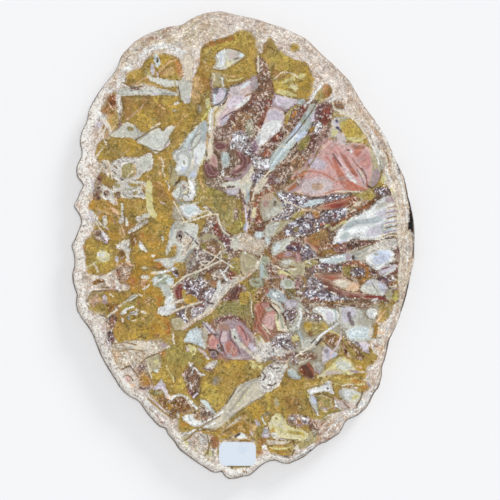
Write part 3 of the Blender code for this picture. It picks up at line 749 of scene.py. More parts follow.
# %% Forms inside the forms: the star's upper half
draw("insets", """
lavender s2 307,160 10,-3 10,6 -2,7 -13,-1
lilac s2 304,181 9,-4 13,1 8,6 -4,8 -18,3 -12,-3
fawn s2.5 311,184 9,-2 5,5 -5,4 -7,-1
salmon w1.6 303,172 9,-1 10,2 8,4 7,5
salmon w1.6 326,157 4,4 4,7
rust s1 285,192 11,-10 5,-6 4,-2 0,6 -5,6 -6,4
taupe s1 297,178 5,-1 1,6 -4,5 -3,-3
mauve w2.6 289,193 7,-3 6,-6 3,-6
salmon w1.6 305,173 -6,3 -7,3
earth s2 289,158 9,-4 8,4 -3,9 -8,4 -6,-3
rust s1 301,157 4,0 -1,4 -3,0
milk s1 255,160 5,-1 1,5 -5,1
milk s1 263,161 5,-1 0,8 -5,-1
milk s1 276,178 3,0 0,4 -4,0
rust w3.2 273,190 -7,1.5 -5,3.5 -4,5 -1,6 2,6
brick 255,213 5,0 1,9 -1,3 -4,0 -1,-6
lemon s1 252,208 3,0 2,4 -2,6 -3,0
heather s1 263,201 4,-1 2,3 -2,4 -4,0
dark w2.4 275,202 -.5,3
mist s2.5 266,212 7,-5 7,-1 0,6 -8,5 -6,2
fawn s1.5 261,198 7,-4 6,1 -2,4 -8,2
dusk w2.8 287,193.5 11,2.5 12,3
ice s1 302,205 8,-5 8,-1 8,0 -4,4 -8,3 -8,1
navy w2.2 318,198 12,-1.5 10,-1
peach w2.6 302,209.5 6,1 7,-.5
druse s1 303,214 8,-1 2,7 -5,5 -5,-3
moss s1 294,227 4,-1 0,6 -4,0
tan s1 313,223 3,0 0,6 -3,0
cocoa s1.5 320,224 10,-3 6,2 -3,7 -7,4 -8,0
lime w2.6 326,225 4,1
wine s1.5 330,206 8,-3 7,0 -4,5 -8,1
straw w3 332,229 7,-4.5 6,-3
salmon 332,158 4,5 8,13 6,6 7,5 8,4 -11,.5 -8,-1.5 -5,-5 -3,-7
blush 337,155 9,12 10,12 2,4 -4,-2 -6,-6 -9,-14
brick 339,151 4,2 4,5 7,12 4,4 0,3 -4,-1 -4,-5 -8,-13
milk 346,172 4,3 8,9 -3,0 -8,-8
rust s1 350,144 16,2 -2,3 -6,1 -6,-2
salmon s1.5 354,150 7,-1 1,6 -4,3 -4,-3
rose s2 359,154 6,-2 5,6 1,8 -4,4 -6,-2 -3,-7
blush s1.5 358,165 6,3 4,6 -1,8 -3,4 -4,-6 -3,-8
mauve s1.5 374,169 6,1 1,8 -4,7 -6,3 0,-7
mist s1 373,146 5,4 3,6 -2,3 -3,-6
straw s2 381,176 5,-2 2,5 -4,5 -4,-2
stone s1.5 375,207 5,-4 11,-3 -3,5 -11,5
mauve s1 386,197 6,1 1,4 -5,1 -4,-2
lavender s2 379,212 7,-4 8,-2 1,8 -7,5 -8,-1 -4,-3
steel s1.5 350,221 10,-2 10,-1 9,-3 5,5 -6,3 -22,2 -12,7 -1,-4
lavender s2 366,232 8,-6 8,-3 5,3 -3,7 -10,3 -8,1
aqua s1.5 340,238 4,-6 5,0 1,4 -5,4 -4,0
lavender s1.5 336,243 8,-3 4,-2 -2,5 -6,2
steel s1.5 380,225 6,-5 6,2 0,10 -8,2 -4,-4
sienna w3 331,227 15,-9 6,-4.5 17,-9.5 6,-5
sienna s1 345,203 7,-6 6,0 -3,6 -6,4
dark 347,243 6,-2 7,2 1,4 -8,2 -7,-1
mustard s1 366,192 7,1 1,6 -6,1
""")

# %% Forms inside the forms: the star's lower half
draw("insets", """
ice s1 273,247 4,-4 4,1 -3,6 -3,3
pale w1.6 282,250 4,-5 6,-5
navy s1 285,248 6,-2 7,0 6,3 -2,3 -10,-1
maroon s1 290,243 8,-2 2,4 -8,1
druse 303,245 5,-2 3,4 -1,4 -6,-1
rust s1 275,257 5,-4.5 4,.5 -1,4 -5,2
mauve s1 284,252 7,-1 2,5 -7,1
pale s1 282,262 5,-2.5 5,1.5 -2,3 -6,0
brown w2.6 265,249 2,5 5,4 2,4
rust w2 272,258 3,7
umber w1.6 289,266.5 5,.5
sage s1.5 284,279.5 7,.5 2,6 -7,1
heather s1 277,276 5,-2.5 5,1.5 -2,3 -6,1
brown w2.6 302,277 5,3.5 -2,6.5 -5,5
heather s1 295,283 4,-4 1,8 -4,3
russet s1.5 308,237 8,-5 9,-4 4,4 -3,8 -8,6 -8,-2
earth s1.5 321,240 8,-2 1,8 -7,3 -4,-3
sienna w2.4 326,246 8,.5 10,-2.5
brown s1 322,250 11,0 3,3 -11,2
aqua s1.5 328,258 12,-1 5,3 -10,2
milk w2 321,260 9,-2 12,-1.5
mauve s1 345,255 5,-2 2,6 -6,2
bluish s2 376,251 10,-1 5,4 -3,7 -10,4 -6,-3
rust w3 343,265.5 7,-3.5 8,0 7,4
amber w2.6 365,267.5 4,4.5 -3,6 -6,5
olive s1 342,268 5,-2 4,4 -1,6 -5,0
slate s1 350,269 6,-2 7,1 3,4 -3,4 -8,1 -5,-3
brick s1.5 322,275 10,1 8,2 -5,3 -9,-2
garnet s1 325,284 16,8 -1,4 -8,-2 -6,-4
bluish s1.5 378,283 6,2 2,5 -5,2
lavender s1.5 365,281 6,-2 2,5 -6,2
pale w3.6 376,281 1.5,7 4.5,6
druse 307,279 7,-1 5,5 3,7 -6,3 -7,-2 -3,-5
wine w2.6 312,299 6,0
rust s1 312,297 6,-1 1,5 -6,1
rust s1 263,289 4,-1.5 3,2.5 -2,4 -4,-1
milk s1.5 270,292 7,0 4,5 -6,1
garnet s1 311,266 7,-1 2,4 -7,3
plum w2 321,264.5 9,.5 9,1
bronze w2.4 325,302.5 9,.5 9,-1
drab s1.5 386,290 5,-2 2,6 0,6 -6,0 -2,-4
""")

# %% Forms inside the forms: the grainy heart and the lobes
draw("insets", """
black s1 178,234 3,-.5 1.5,2.5 -1,5 -1.5,-.5 -.5,-3.5
taupe s1.5 176,231 7,-1 2,7 -2,6 -5,-1 -2,-5
beige s1.5 184,236 6,1 4,6 -8,13 -5,0 1,-10
cocoa 206,217 12,-1.5 1,5.5 -8,-1 -7,2
wine 214,224 5,-3 1,9 3,6 -4,1 -6,-5
maroon s1 222,236 7,2 4,6 -5,3 -5,-5
milk s1 205,228 3,-1 1,4 -3,2 -2,-2
milk w1.6 211,221 1,5
drab s1.5 200,237 6,-4 8,2 4,5 -8,-1 -7,3
earth s1.5 201,242 9,-3 8,3 4,7 -4,7 -10,-3 -6,-4
moss s1 222,253 6,0 1,6 -6,0
gold s1.5 173,262 8,0 2,6 -7,2
dusk s1 171,270 6,-1 3,8 -5,1
plum s1 183,281 6,-2 1,11 -5,0
olive s1 182,290 4,0 0,8 -4,1
russet s1 204,272 6,1 1,7 -6,0
brown s1 210,281 7,-1 2,6 -6,2
pale s1 216,281 5,-1 1,10 -5,2
wine s1 228,272 8,-2 1,8 -8,2
maroon s1 198,299 6,-2 1,10 -5,1
umber s1 176,304 7,-2 3,4 -8,4
umber 187,311 3,-1 1,9 -3,0
gold s2 239,293 10,-1 1,11 -9,2
bronze s1.5 254,294 7,-1 1,7 -7,1
heather s1 261,303 7,0 1,4 -6,1
stone s1 264,308 6,-1 5,3 -7,2
rose s1 266,314 4,-3 5,0 1,4 -6,-1
clay s1 218,326 4,-3 7,2 0,6 -6,-1 -4,2
blush s1 221,332 3,-2 3,3 1,6 -3,4 -4,-2 -2,-4
pale s1 231,331 3,-3 3,3 1,6 3,6 0,6 -4,-4 -5,-9
rose s1 236,326 4,-2 4,4 3,6 2,7 -1,5 -8,-11
pink s1 243,331 3,3 3,7 0,4 -3,-4
heather s1 247,331 4,5 2,8 -3,2 -2,-7
terracotta s1.5 226,342 5,-3 5,3 3,6 -1,6 -5,3 -5,-3 -3,-6
pearl s1.5 249,343 5,1 2,8 -4,2 -4,-5
druse s1 216,344 8,0 1,7 -7,1
cream w3.4 241,344 6,6 13,11
clay w1.2 243,343 6,6 5,5
olive s1 256,334 4,2 1,6 -4,-1
grey s2 187,252 5,-4 4,4 0,10 -2,8 -6,2 -4,-10
olive s1.5 200,243 7,0 0,8 -5,-1
heather s1.5 208,244 8,0 3,6 -5,2 -6,-2
rust s1 211,280 6,0 1,6 -6,0
sage s1.5 191,273 8,-2 0,9 -7,2
straw s1 293,335 5,0 1,5 -4,2 -3,-3
""")

# %% Forms inside the forms: upper left
draw("insets", """
sienna s1.5 109,97 4,-4 3,7 0,6 -4,1 -4,-5
ice 153,55 4,-1.5 2.5,4.5 1.5,5 -2,3.5 -3,1 -2,-5.5
lavender s1 151,62 3,2 1,7 -2,5 -3,-6
tan s1 161,75 4,-5 4,-3.5 4,-.5 2,9 -7,2
olive s1.5 167,76 8,-1.5 5,2.5 -3,2.5 -8,0
gold s2 127,73 9,-3 5,2 -1,6 -10,2 -4,-2
taupe s1.5 128,85.5 11,.5 2,4 -9,.5
blush s1 170,141 0,2 -2,3 -5,3 -2,-1
olive s1 128,126 5,1 1,4 -4,1 -3,-3
olive s1.5 124,164 8,-2 4,4 0,7 -5,5 -7,2 -3,-4 0,-7
mist s1.5 138,160 6,-3 6,-2 2,5 -1,7 -5,3 -6,0 -2,-5
olive s1 113,184 4,-.5 4,1.5 -1,3 -5,-1
pale s1 124,186 5,-3 9,-2 4,2 -5,4 -9,1.5
olive s1 132.5,192 4.5,-1.5 1,2.5 -4,3 -2,-1
hazel s1.5 116,192 4,-1 0,8 -4,0
brown s1 104,182 4,0 4,4 1,4 -4,-2 -4,-3
hazel s1 103,191 6,-1 2,7 -6,1
tan s3 192,80 6,-6 3,14 -2,14 -5,2 -2,-12
lavender s1.5 184,94 5,0 1,8 -4,1
gold s3 190,106 7,2 1,10 -7,6 -4,-8
straw s2 147,184 5,-1 1,9 -4,2
steel s1 201,123 6,-2 0,12 -1,8 -3,2 -3,-4 0,-9
ice s1 197,127 2,0 -4,6 -7,13 -4,4 -2,-1 3,-7 5,-8
pale s1 200,134 .5,4 -2.5,5 -4,4 -2.5,-.5 1.5,-5.5 3,-5
milk 199,144 6,-2 1.5,7 -5.5,15 -4,-1 -3,-6 -1,-6
lemon s1 203,158 3,-2 -1,6 -4,4 -1,-3
milk 179,155 6,-.5 3,3.5 0,7 -3,4 -5,1 -3,3 -2,-4 2,-5 3,-4
bluish s1 181,166 4,0 0,5 -4,1
bluish 190,172.5 4,-2 3,3.5 -3,5 -5,-.5
cream s1 191,158 2.5,1 -.5,9 -2,1
lemon s1 183,191 5,-1 0,3 -5,1
taupe s1 181,184 4,-.5 2,3.5 -4,3
ice s1 184,207 8,-2 5,3 -5,6 -6,1
mist s2 181,82 9,-1 1,9 -3,9 -7,-1 -3,-8
ochre s1 128,182.5 8,1.5 6,-.5 -1,3 -11,.5
""")

# %% Forms inside the forms: left
draw("insets", """
mustard s5 97,247 7,-3 6,4 1,9 -4,7 -7,-1 -4,-7
lavender s1 115,256 3,-1 1,4 -1,4 -3,-2
bronze s2 118,250 5,-.5 2.5,4.5 -1,5 -4.5,1
olive s3 140,266 9,-1 1,7 -8,1
fawn s3 117,264 9,0 5,8 -4,9 -9,0 -6,-5
amber s3 128,277 8,0 2,6 -6,4 -5,-3
fawn s3 90,294 9,-1 1,10 -7,3 -4,-5
pearl s1 102,294.5 3.5,-.5 2,4 -1.5,3 -3.5,-1.5
mauve s2 101,300 6,0 2,4 -6,1
bronze s2.5 106,303 12,0 2,8 -12,2
steel s1.5 115,307 3,-1 -.5,4.5 -2.5,.5
olive s2 122,305 10,-3 10,0 -1,5 -11,0 -7,3
honey s3 112,226 6,2 1,12 -7,3 -3,-9
grey s2 98,232 4,1 5,10 -4,-1
umber s3 122,227 6,-1 0,6 -5,2
maroon 111,335 3,0 0,6 -3,0
bronze s2.5 130,236 6,-3 2,7 -4,7 -4,-3
umber s1.5 149,267 7,-1.5 7,.5 1,4 -8,1 -6,-1
lemon s2 97,253 4,-4 6,2 4,5 -3,6 -7,1 -4,-4
drab s2 169,165 7,3 2,10 -2,10 -5,-2 -2,-10
""")

# %% Forms inside the forms: the middle
draw("insets", """
mist s2 231,240 5,-4 3,3 0,10 -6,0 -3,-3
garnet s1 254,224 7,-1 5,3 -1,4 -7,2 -5,-3
taupe s2 234,208 4,0 0,12 -4,0
moss s2 251,270 7,-1 1,7 -7,1
aqua s2 259,263 4,-1 2,10 -1,7 -4,-1
bronze s1.5 255,293 6,-1 1,6 -6,2
taupe s1.5 265,263 5,1 4,12 -4,3 -3,-7
""")

# %% Forms inside the forms: lower right
draw("insets", """
lavender s2 326,312 6,0 2,8 -4,3 -4,-4
lavender s2 341,308 13,-1 3,7 -7,8 -8,0
putty s1.5 356,319 10,-1 5,4 -3,4 -10,-1
plum s1 347.5,312 3.5,0 0,6 2.5,3 1.5,4.5 -4,.5 -3.5,-9
cream s1 369,326 4,1 .5,5 -2.5,6 -2,-1
gold s1.5 304,323 6,-1 3,4 -3,3 -5,-1
mustard s1.5 322,321 4,3 3,5 -5,-1
chestnut s1.5 308,331 5,0 0,5.5 -4,-.5
wine s1.5 329,339 4,.5 1,3.5 -4,0
mustard s1.5 349,347 5,3 4,7 -6,1 -4,-6
plum s1 324,348 5,.5 -1,5.5 -4,-1
bluish s1 333,352 6,1 -3,4 -5,3
pale s1 336,362 5,-2 6,2 5,4 -2,4 -8,1 -6,-3
shell s1 325,371 9,-1 10,3 -8,1.5 -11,1.5
gold s2 349,358 8,2 9,4 0,14 -9,0 0,-10
olive s1.5 326,362 7,-4.5 7,-2 -4,4.5 -12,12
amber s2 352,379 10,0 1,5 -10,0
milk s1.5 343,391 7,-1.5 2,5.5 -6,4
straw s1 352,395 8,-1 -1,5 -8,1.5
brown s1.5 342,383.5 10,.5 6,3 -8,2 -7,-2
amber s2 360,381 7,1 2,6 -3,3 -5,-3
bluish s1 310,397 4,-1 3,5 -1,5 -4,-3
tan s1 318,400 5,1 -1,5 -4,-2
lemon s1 271,417 7,-2 4,7 4,5 -6,0 -7,-3
mustard s1.5 286,431 13,0 7,3 -3,4.5 -9,-1.5
gold s1.5 271,428 5,0 0,5 -5,-1
milk s1 270,433 5,0 5,3 8,2 1,2.5 -9,-.5 -8,-2
steel s1 263.5,429 4.5,.5 -.5,4.5 -4.5,-.5
honey s2 269,449 11,2 12,-1 -2,5 -14,0
brown s3 283,396 15,0 6,10 -2,8 -14,-2
drab s1 274,398 5,1 0,8 -4,-1
chestnut s1 299,367 6,-3 6,-1 3,8 .5,7 -5.5,1 -6,-4
sienna s1 298,369 4,-1.5 1,4.5 3,6 -4,-3
drab s1 309,430 4,3 0,5 -5,4 -3,-1.5 4,-4.5
lemon s1.5 273,429 22,6 9,1 -4,4 -10,.5 -11,-3.5
frost s1.5 264,348 8,-2 12,3 6,4 -6,4 -14,-1
""")

# %% Forms inside the forms: lower left
draw("insets", """
mauve s1 159,344.5 5,-2 5,3 -4,2.5 -5,-1
cream s1.5 124,344 10,-1 10,1 4,4 -10,3 -12,-1
cream s1.5 148,351 7,-3.5 6,.5 -5,4 -6,2
tan s2.5 111,350 7,-1 3,7 -1,6 -6,0
straw s1 154,359 5,0 -1,6 -4,-1
milk s1 154,369 4,0 0,3.5 -4,-.5
rose s1 124,377 6,-1 2,4 -4,3 -4,-2
peach s1.5 129,384 5,-1 1,5 -4,2
honey s2 142,376 5,0 2,6 -6,1
fig s1 139,386 7,2 8,-4 -2,5 -8,1 -6,-1
chestnut s1 181,400 5,-1 1.5,4 -4.5,2
honey s2 165,402 7,2 2,7 -6,-2
fawn s1 189,436 9,1 0,9 -8,0
steel s1 199,434 9,-1 1,10 -9,2
straw s1 179,441 9,-1 1,7 -6,2
russet s1 211,436 8,1 0,9 -6,4 -3,-7
straw s1.5 204,450 8,0 2,7 -8,2
olive s2 181,386 -4,6 3,4
""")

# %% Small marks: left
draw("marks", """
cream w2 152,256 2,0
peach 109.5,207 4.5,1 3.5,2.5 2,4 -2.5,0 -4,-2.5
pale w2.2 122,204 .7,5.5
pale w1.8 122,209 0,5
cream w3.2 98.5,213 1,.5
rust w1.5 99,213 .5,.4
frost w1.8 91,210 4,5 3,6 5,5 5,3
cream w1.4 96,222 4,7 4,4 2,5
milk w2 126,219 1.3,6
umber w1.2 124,214 1,7 0,7
grey w1 129,231.5 6,-4.5 13,-8
umber w1 130,235.5 7,-4 12,-8
tan w1.5 119,227 1,5 3,6
peach w1.5 121.5,225 1.5,6 2,4
rust w1.6 112,219 4,5
umber w1.2 132,232 -1,8 1,10
amber w2.4 142,234 1,3
olive w2 135,220 2,2
pearl w1.4 102,233 3,5 2,5
milk w1.2 103,232 6,7
milk 97,253 3,-.5 -1,4 -2,-.5
cream w2 102,254.5 1.5,2.5
straw w1.5 87,268 5,-4 5,-3
cream w1.6 94,264 3,4 1,4
brown w1.6 84,246 .5,5 1.5,4
dark w1.8 82,279 2,-1.5 3,-.5
umber w1.3 100,276 10,-5 5,-3
umber w1.3 92,291.5 14,-1 12,-.5
bronze w3.4 94,283 5,-2 4,0
cream w1.6 90,277 4,2 3,-3
fawn w2 113,277 1,7
rust w1.4 117,270 2,5
umber w1.4 101,287 8,.5
rust 112,286 4,0 0,5 -3,0
milk w2 117,288 2.5,1
peach w2 128,262.5 3,2.5 3,1
cream w2.2 143,267.5 3,.5
umber w1.4 150,268 -7,3
cream w1.8 149,285 -2.5,3 -3.5,1
rust w2.2 131,279 3,4
brown w1.4 121,283 7,1 8,3
umber w1.6 121,292 4,2
cream w1.6 110,294 3,2.5
grey w1.2 128,299.5 3.5,-2 3.5,-1.5
cream w1.4 139,294 3,2
rust w2.4 138,302 1.5,2.5
cream w1.5 119,306 4,-2.5 4,-2.5
cream w2 108,316.5 5,-4 4,-3
milk w2 125,310 4,-1.5 4,-1.5
cream 135,309 4,-.5 0,3 -3,.5
cream w2.6 142,311.5 3,1.3
grey w1.2 130,314 4,-1
cream w2.2 122,319 1,2.5
steel 127,316 3,0 0,4 -3,0
rust w2.5 112,318 0,3
brown 92,331 3,4 1,3 -2,0
cream w1.4 132,321 4,-1
umber w1.4 136,324 5,3
umber w1.6 126,324 3,5
tan w1.6 142,318 4,2
umber w1.4 100,315 7,2
milk w1.6 152,255.5 2,.5
milk w2.4 99,255 5,-1
""")

# %% Small marks: lobes and arms above the middle
draw("marks", """
milk w2.5 224,169 -2,6
mauve w3 226,178 7,2 8,-3 5,-5 4,-7
""")

# %% Small marks: the bark at the very rim
# The two grey strokes that run along the very edge at the upper right and at the right are painted shade for the
# dark line where the edge turns down.
draw("marks", """
black 397,163 2,2 2,11 -2,1 -2,-5
dark w2.6 413,235 1,11 -1,11
dark 410,272 3,1 -1,3 -2,0
black 407,283 3,1 -1,5 -2,-1
grey w1.6 361,101.5 5,7 12,16 10,17 4,8.5
tan w2.4 358,112 8,8 14,16
clay w1.8 373,130 5,8 6,7
milk w1.8 371,133 3,8 4,8 5,7
cream w1.8 346,104 8,4 8,8 7,9
milk w1.6 377,124 6,9 4,9
milk w2.2 391,153 4,7 2,8
clay w1.6 384,148 4,9 2,10
umber w1 386,152 3,9
milk w2 386,166 2,10 5,8
rind w1.8 396,180 4,15 3,17 1,18
cream w2 392,182 4,14 3,15 1,17 0,18
milk w1.5 399,176 4,14 3,15 2,17
cream w1.8 401,250 0,16 -2,16
milk w1.4 407,236 1,16 -2,18
black w6.5 s1 412,204 .5,8 -1.5,14 2.5,6
dark w3 s1 413.5,230 .5,8 0,9
grey w1.5 411.5,202 1.9,12 1,10 .6,12 0,10
""")

# %% Small marks: arms above the middle
draw("marks", """
mauve w2 272,105 8,3 7,3
mauve w1.6 272.5,104 1,-6 1.5,-5
umber w1.1 245,96 4,-1.5 4,-1.5
plum w1.2 221,119.5 8,-6 6,-2.5
milk s1 230,147 4,-5 3,1 -2,5 -4,2
milk s1 238,139 3,-4 4,2 1,5 -5,3
milk w2.4 245,150 4,4
milk w2 236,134 2,4
cream w1.5 256,126 4,4
cream w1.2 231,121 4,4
peach w1.6 277,136 1,3
black w1.4 287,129 -3,6 -4,5
milk w3 318,125 -2,5
milk w2.4 320,123 1,3
steel w1.3 333,114 6,-.5 6,0
steel w1.3 334,117.5 6,-.5 6,1.5
stone w1.3 335,121 10,-.5
navy w2.4 336.5,120.5 .5,1
navy w2.6 337,127.5 1.5,.8
navy w2 340.5,130.5 .8,.5
tan w1.4 233,126 3,4
earth w1.6 206,134 3,4
umber w1.5 206,151 1,5
iron w1.4 290,150 6,-4
dark w1.2 292,154 7,-4
""")

# %% Small marks: the star's upper half
draw("marks", """
milk w2.2 277,193 4,3
milk w3 283,198.5 3,.5
steel w2.2 282,204 2,3
milk w1.4 316,220 2,5 .5,6
salmon w2.2 321,224 3,0
milk w1.6 305,225 4,3
milk w1.4 286,232 3,-2
milk w1.8 291,209 1,3
milk w1.4 329,197 2,1
milk w1.8 329,211 2,3
maroon w2.4 333,213 3,4
umber w2 254,225 5,2 3,-3
milk w1.4 300,199.5 2,3.5
umber w1.2 381.5,170 -1,8 -3.5,7 -5,4
dark w2 368,186 3,2
dark w1.4 373,187.5 3,-2
cream w1.2 383,174 3,6 -2,6
straw w1.8 391,189 2,5
mauve w1.6 391,197 3,6
cream w1.4 354,206 3,-3 4,-1
cream w1.2 351,212 4,-3
milk w1.4 339,216 4,-3
cream w1.3 385,206 6,-3 6,1
cream w1.3 386,211.5 5,-3.5 6,.5
cream w1.3 384,216.5 6,-3.5 7,.5
cream w1.3 385,221 6,-3 6,.5
cream w1.3 384,225.5 6,-2.5 7,0
cream w1.3 383,230 7,-3 7,1
cream w1.3 381,235 8,-4 8,1.5
cream w1.3 376,239 8,-3 8,-1 6,1
clay w1.2 388,207.8 8,-1.5
violet w1.2 386,213.3 10,-2.3
umber w1 387,218.5 9,-2.5
violet w1.2 386,223.3 10,-2.5
umber w1 386,228 10,-2.4
violet w1.2 384,232.6 12,-2.4
umber w1 383,236.8 7,-3.2 7,.8
iron w1.4 337,243 6,3
plum w1.2 340,249 6,2
""")

# %% Small marks: the star's lower half
draw("marks", """
milk w1.4 314,254 3,3
milk w2.6 306,246.5 2,1
milk w1.6 293,246 3,2.5
cream w1.3 275,265.5 6,3.5 7,.5 8,-.5
umber w1.4 271,270 4,6 -3,6
dark w1.4 284,270 6,3.5
umber w1.4 290,291 4,3
slate w1.2 287,292 6,5
milk w1.6 309,280 4,4
milk w2 315,292 4,-3
milk w1.5 323,268 2,2
milk w1.6 329,268 2,2
milk w1.5 335,269.5 2,1.5
cream w1.6 324,286 3,1
cream w1.8 331,292 5,2
lavender w2 332,296.5 6,1
dark w2.6 353,256 .5,3
steel w1.4 356,256 1,4
stone w2 375,254 2,.5
lavender w1.8 376,260 2,.5
umber w1.3 351,268.5 6,-1
stone w2.2 352,272.5 1.5,1
dark w1.4 355,275.5 6,-2
plum w1.6 369,271 4,3
dark w2 371,271 5,2
grey w1 372,283 3,5 3,5
dark w2.2 384,279 5,2
maroon w1.4 382,269 7,-2
maroon w2.6 390,274.5 4,-2 3,-1
pale w2 384,275.5 5,-2.5 5,-3.5
milk w1.6 391,276 5,4
rust w1.6 388,284 7,-.5
cream w2 390,287 6,-1
taupe w3 393,289 4,-.5
milk w1.4 341,299 5,-1 4,1.5
milk w1.4 372,300.5 5,-1.5
lime s1 393,295 4,-2 2,4 -3,4 -3,-2
milk w1.3 300,289 4,-3
milk w1.6 297,291 4,2.5
milk w1.4 308,262 3,2
wine w3 366,296.5 6,.5 6,0 5,1
plum w3 380,279 4,-1.5 4,3.5
""")

# %% Small marks: the grainy heart and the lobes
draw("marks", """
steel w1.6 173.5,224 -1.5,6 0,6
dark w1.3 187,249 3,-5 3,-4
dark w1.6 195,241 3,3.5
dusk w1.3 185,232 6,5 5,3
milk w1.8 162,236 1,4
milk w1.6 204,207 3,1
plum w1.6 209,208 2,3
umber w1.2 204,247 6,-2 6,3 3,4
drab w2.4 211,235 6,3.5 5,6.5 2,6
cream w1.4 196,247.5 3,.5
milk w1.2 197,252 1,6
plum w2 226,242 3,3
milk w1.4 224,243 1,4
dark w2 154,268 5,-1.5 4,1.5
dark w1.4 153,270.5 5,0
milk w1.2 154,284 6,-4 6,-4
milk w1.3 190,281 2,3
lavender w1.4 192,288 5,4
milk w1.4 203,281 4,2
black w1.4 226,282 3,1
milk w1.6 218,283 2,4
milk w1.4 225,271 3,-3.5
milk w2.4 221,270 3.5,6 2.5,5.5
cream w1.4 212,275 6,2
cream w1.4 232,277.5 7,.5
dusk w1.6 208,303 6,1
cream w1.6 185.5,310 -.5,6 3,4
cream w1.2 191.5,309.5 .5,5.5
dark w1.3 253,312 0,8
dark w1.6 251,325 1,6
dark w1.4 270,305 8,8 0,6
stone w1.6 280,311 1,9 2,8
dark w1.2 208,335 4,-1.5 6,1.5
dark w1.6 209,350 7,0 2,4
dark w1.8 234.5,336.5 1,1.5
maroon w1.3 240,326 5,7 2,7
cream w1.2 231,329 1,4
rust w1.3 227,345 2,7
peach w1.6 233,350 1,3
brown w1.6 255,336 3,-3 4,3 4,6
plum w1.2 203,323 7,8 5,5
maroon w1.6 217,322 7,-4 8,-1
mauve w1.2 222,324 6,-2.5 10,0
gold w1.5 163,215 0,11
amber s2 156,262 5,0 1,6 -6,0
amber s2 165,320 6,2 0,12 -6,0
maroon w1.4 222,331 -3,9 7,16
plum w1.4 230,330 0,9 7,7 3,8
umber w1.4 203,243 7,-1 6,2.5 4,4.5
rust w2 207.5,343 1,-6 3.5,-3
iron w1.2 266,351 4,3
iron w1 273,349 1,7
iron w1.2 266,357 4,2
mist w3 272,300 7,4 4,7
""")

# %% Small marks: upper left
draw("marks", """
peach w1.2 109,103 2,4 2,2.5
cream w1.6 104,119 4,4 2.3,5 .2,6
cream w1.4 105.5,127 -2,6 -.5,5 3.5,6.5
brown s1 102,125 3,-1 0,4.5 -2.5,1.5
dark w2.4 157.3,58.5 .3,3
tan w2.2 157,75 2,-4 11,-10 7,-2
blush w1.4 157,72 1,6
rust w1.4 161,74 4,-4
tan w1.6 130,84.5 7,-1 8,-6.5 4,1.5
umber w1.4 123,82.5 5,3 6,2 8,-1.5
drab w1.8 174.5,81 1,5
grey w1.4 131,91 3,-2
grey w1.2 140,89.5 3,2
grey w1.2 150,90.5 2,1.5
lavender w2 153,93.5 4,.5
grey w1 162,92.5 8,1.5
umber w1.4 122,97 2,11 -1,10
umber w1 128,97 22,0
tan w1.3 130,99 4,2 5,-1
fawn w1.4 127,119.5 12,-9.5 4,-5
tan w1.8 160,106 4,2.5
frost w2.4 175,104 4,-2
steel w2.2 173,111 3,-1
umber w1.4 166,110 3,4
umber w1.4 162,98 -2,6
umber w1.2 178,86 2,8 -1,8
steel s1 199,104 2,2 0,6 -2,1.5 -2,-3.5 0,-4
lime w1.6 210,108 -4,6 -4,6
taupe w2.4 119.5,119 1,5 -2,4
grey w1 110.5,133.5 8.5,-5 2,-3
cream w1.2 123,131 3,-5 3,-2 4,1
grey w1 134,125 3,4 1,3
grey w1 135,139 6,-1.5 6,-3
cream w1.2 149,130.5 6,-4.5 5,-3
umber w1.2 136,140 15,-10.2 7,-2.8
umber w1 160,126.5 3,5 3,-4.5
grey w1.4 165,145 3,-4 2.5,-2.5
grey w1.2 146,146 6,4 4,1
cream w1.2 97.5,156 1.5,-4 4,-3
tan w1.2 120,156 5,-3.5 4,-3.5
umber w1.8 97,159 3,2.5 3,1.5
dark w1.6 104,164 2,4
cream w1.6 108,161 2.5,6 1.5,12
umber w1.6 114,166 3,2.5
umber w1.4 113,171 3,3
grey w1.2 118,163 4,-2 6,0
tan w1.4 133,164.5 3,5.5 -2,6
cream w1.4 126,179 4,-5 3,-3
cream w1.3 119,164 2.5,6 -1,7
grey w1.4 121,180 5,-1.5
dark w1.2 120,178 3,2
maroon s1 97.5,175 4,0 1,5 -4.5,1
brown s1 102.5,175 3.5,-2 -.5,5 -3,2
dark w2 104.5,193 2,3
grey w1.4 123,194 4,3
dark w1.6 141,193.5 2,1.5
pale w2 111.5,190 0,6
peach w1.4 116,199 1.5,6
sage w1.4 140,186 -6,2.5 -8,1.5
blush w1.4 160,202 5,2
cream w1.2 161,158 3,6 -2,6 3,6
honey w4 s2 161,178 5,9 7,15
umber w1.2 154,150 6,2 6,-2
milk w1.4 166,181 3,4 0,5
tan w1.4 146,176 6,2
tan w2.2 142,185 3,4
straw w6.5 149,184 -.5,9 1.5,16 4,6
steel w1.4 199,126.5 -10,18.5 -1,5
grey w1.2 201,138 -3.5,6 -4,4.5 -4,2
grey w1 200.5,133 -4.5,2.5 -3.5,5.5 -1.5,5.5
lavender w1.8 189,147 .5,4
grey w1.1 173.5,160 -1.7,-5 3.2,-4.5 5,-1.5 3,-3
steel w1.5 177,160 .5,-6 4.5,-2.5 5,.5 3.5,5 -.5,7 -4,8
white w1.2 175,158 0,-4.5 4,-2.5
lavender w2 196,157 -1,6 2,5
stone w1.2 193,151 -.5,6
steel w1.1 188,180 -1,-4 -6,-1.5
sage w1.8 183.8,161 .4,2.5
black w1.8 180.5,177.5 -2,3.5
dark w2.4 177,182.5 -1.5,2
umber w1.4 174,186 -2.5,4
grey w1.2 181,187 0,6 -2,5 -2,2
grey w1.3 182,199 .5,-4 2.5,-1.2 3,1.7 1,2.5
sage w1.6 196.7,180 .5,10 -.5,9
grey w1.2 174,201 6,1 7,-.5 5,1
plum w1.4 202,206.5 4,-1
tan w2 200,179 2,7 2,5
tan w1 177,126 4,-6 6,-5
umber w1.4 170,160 2,10 -2,8
tan w1.5 207,148 -.5,-7 1.5,-4 3,-1
milk w1.6 211.5,108 -1.5,12 -.5,12
""")

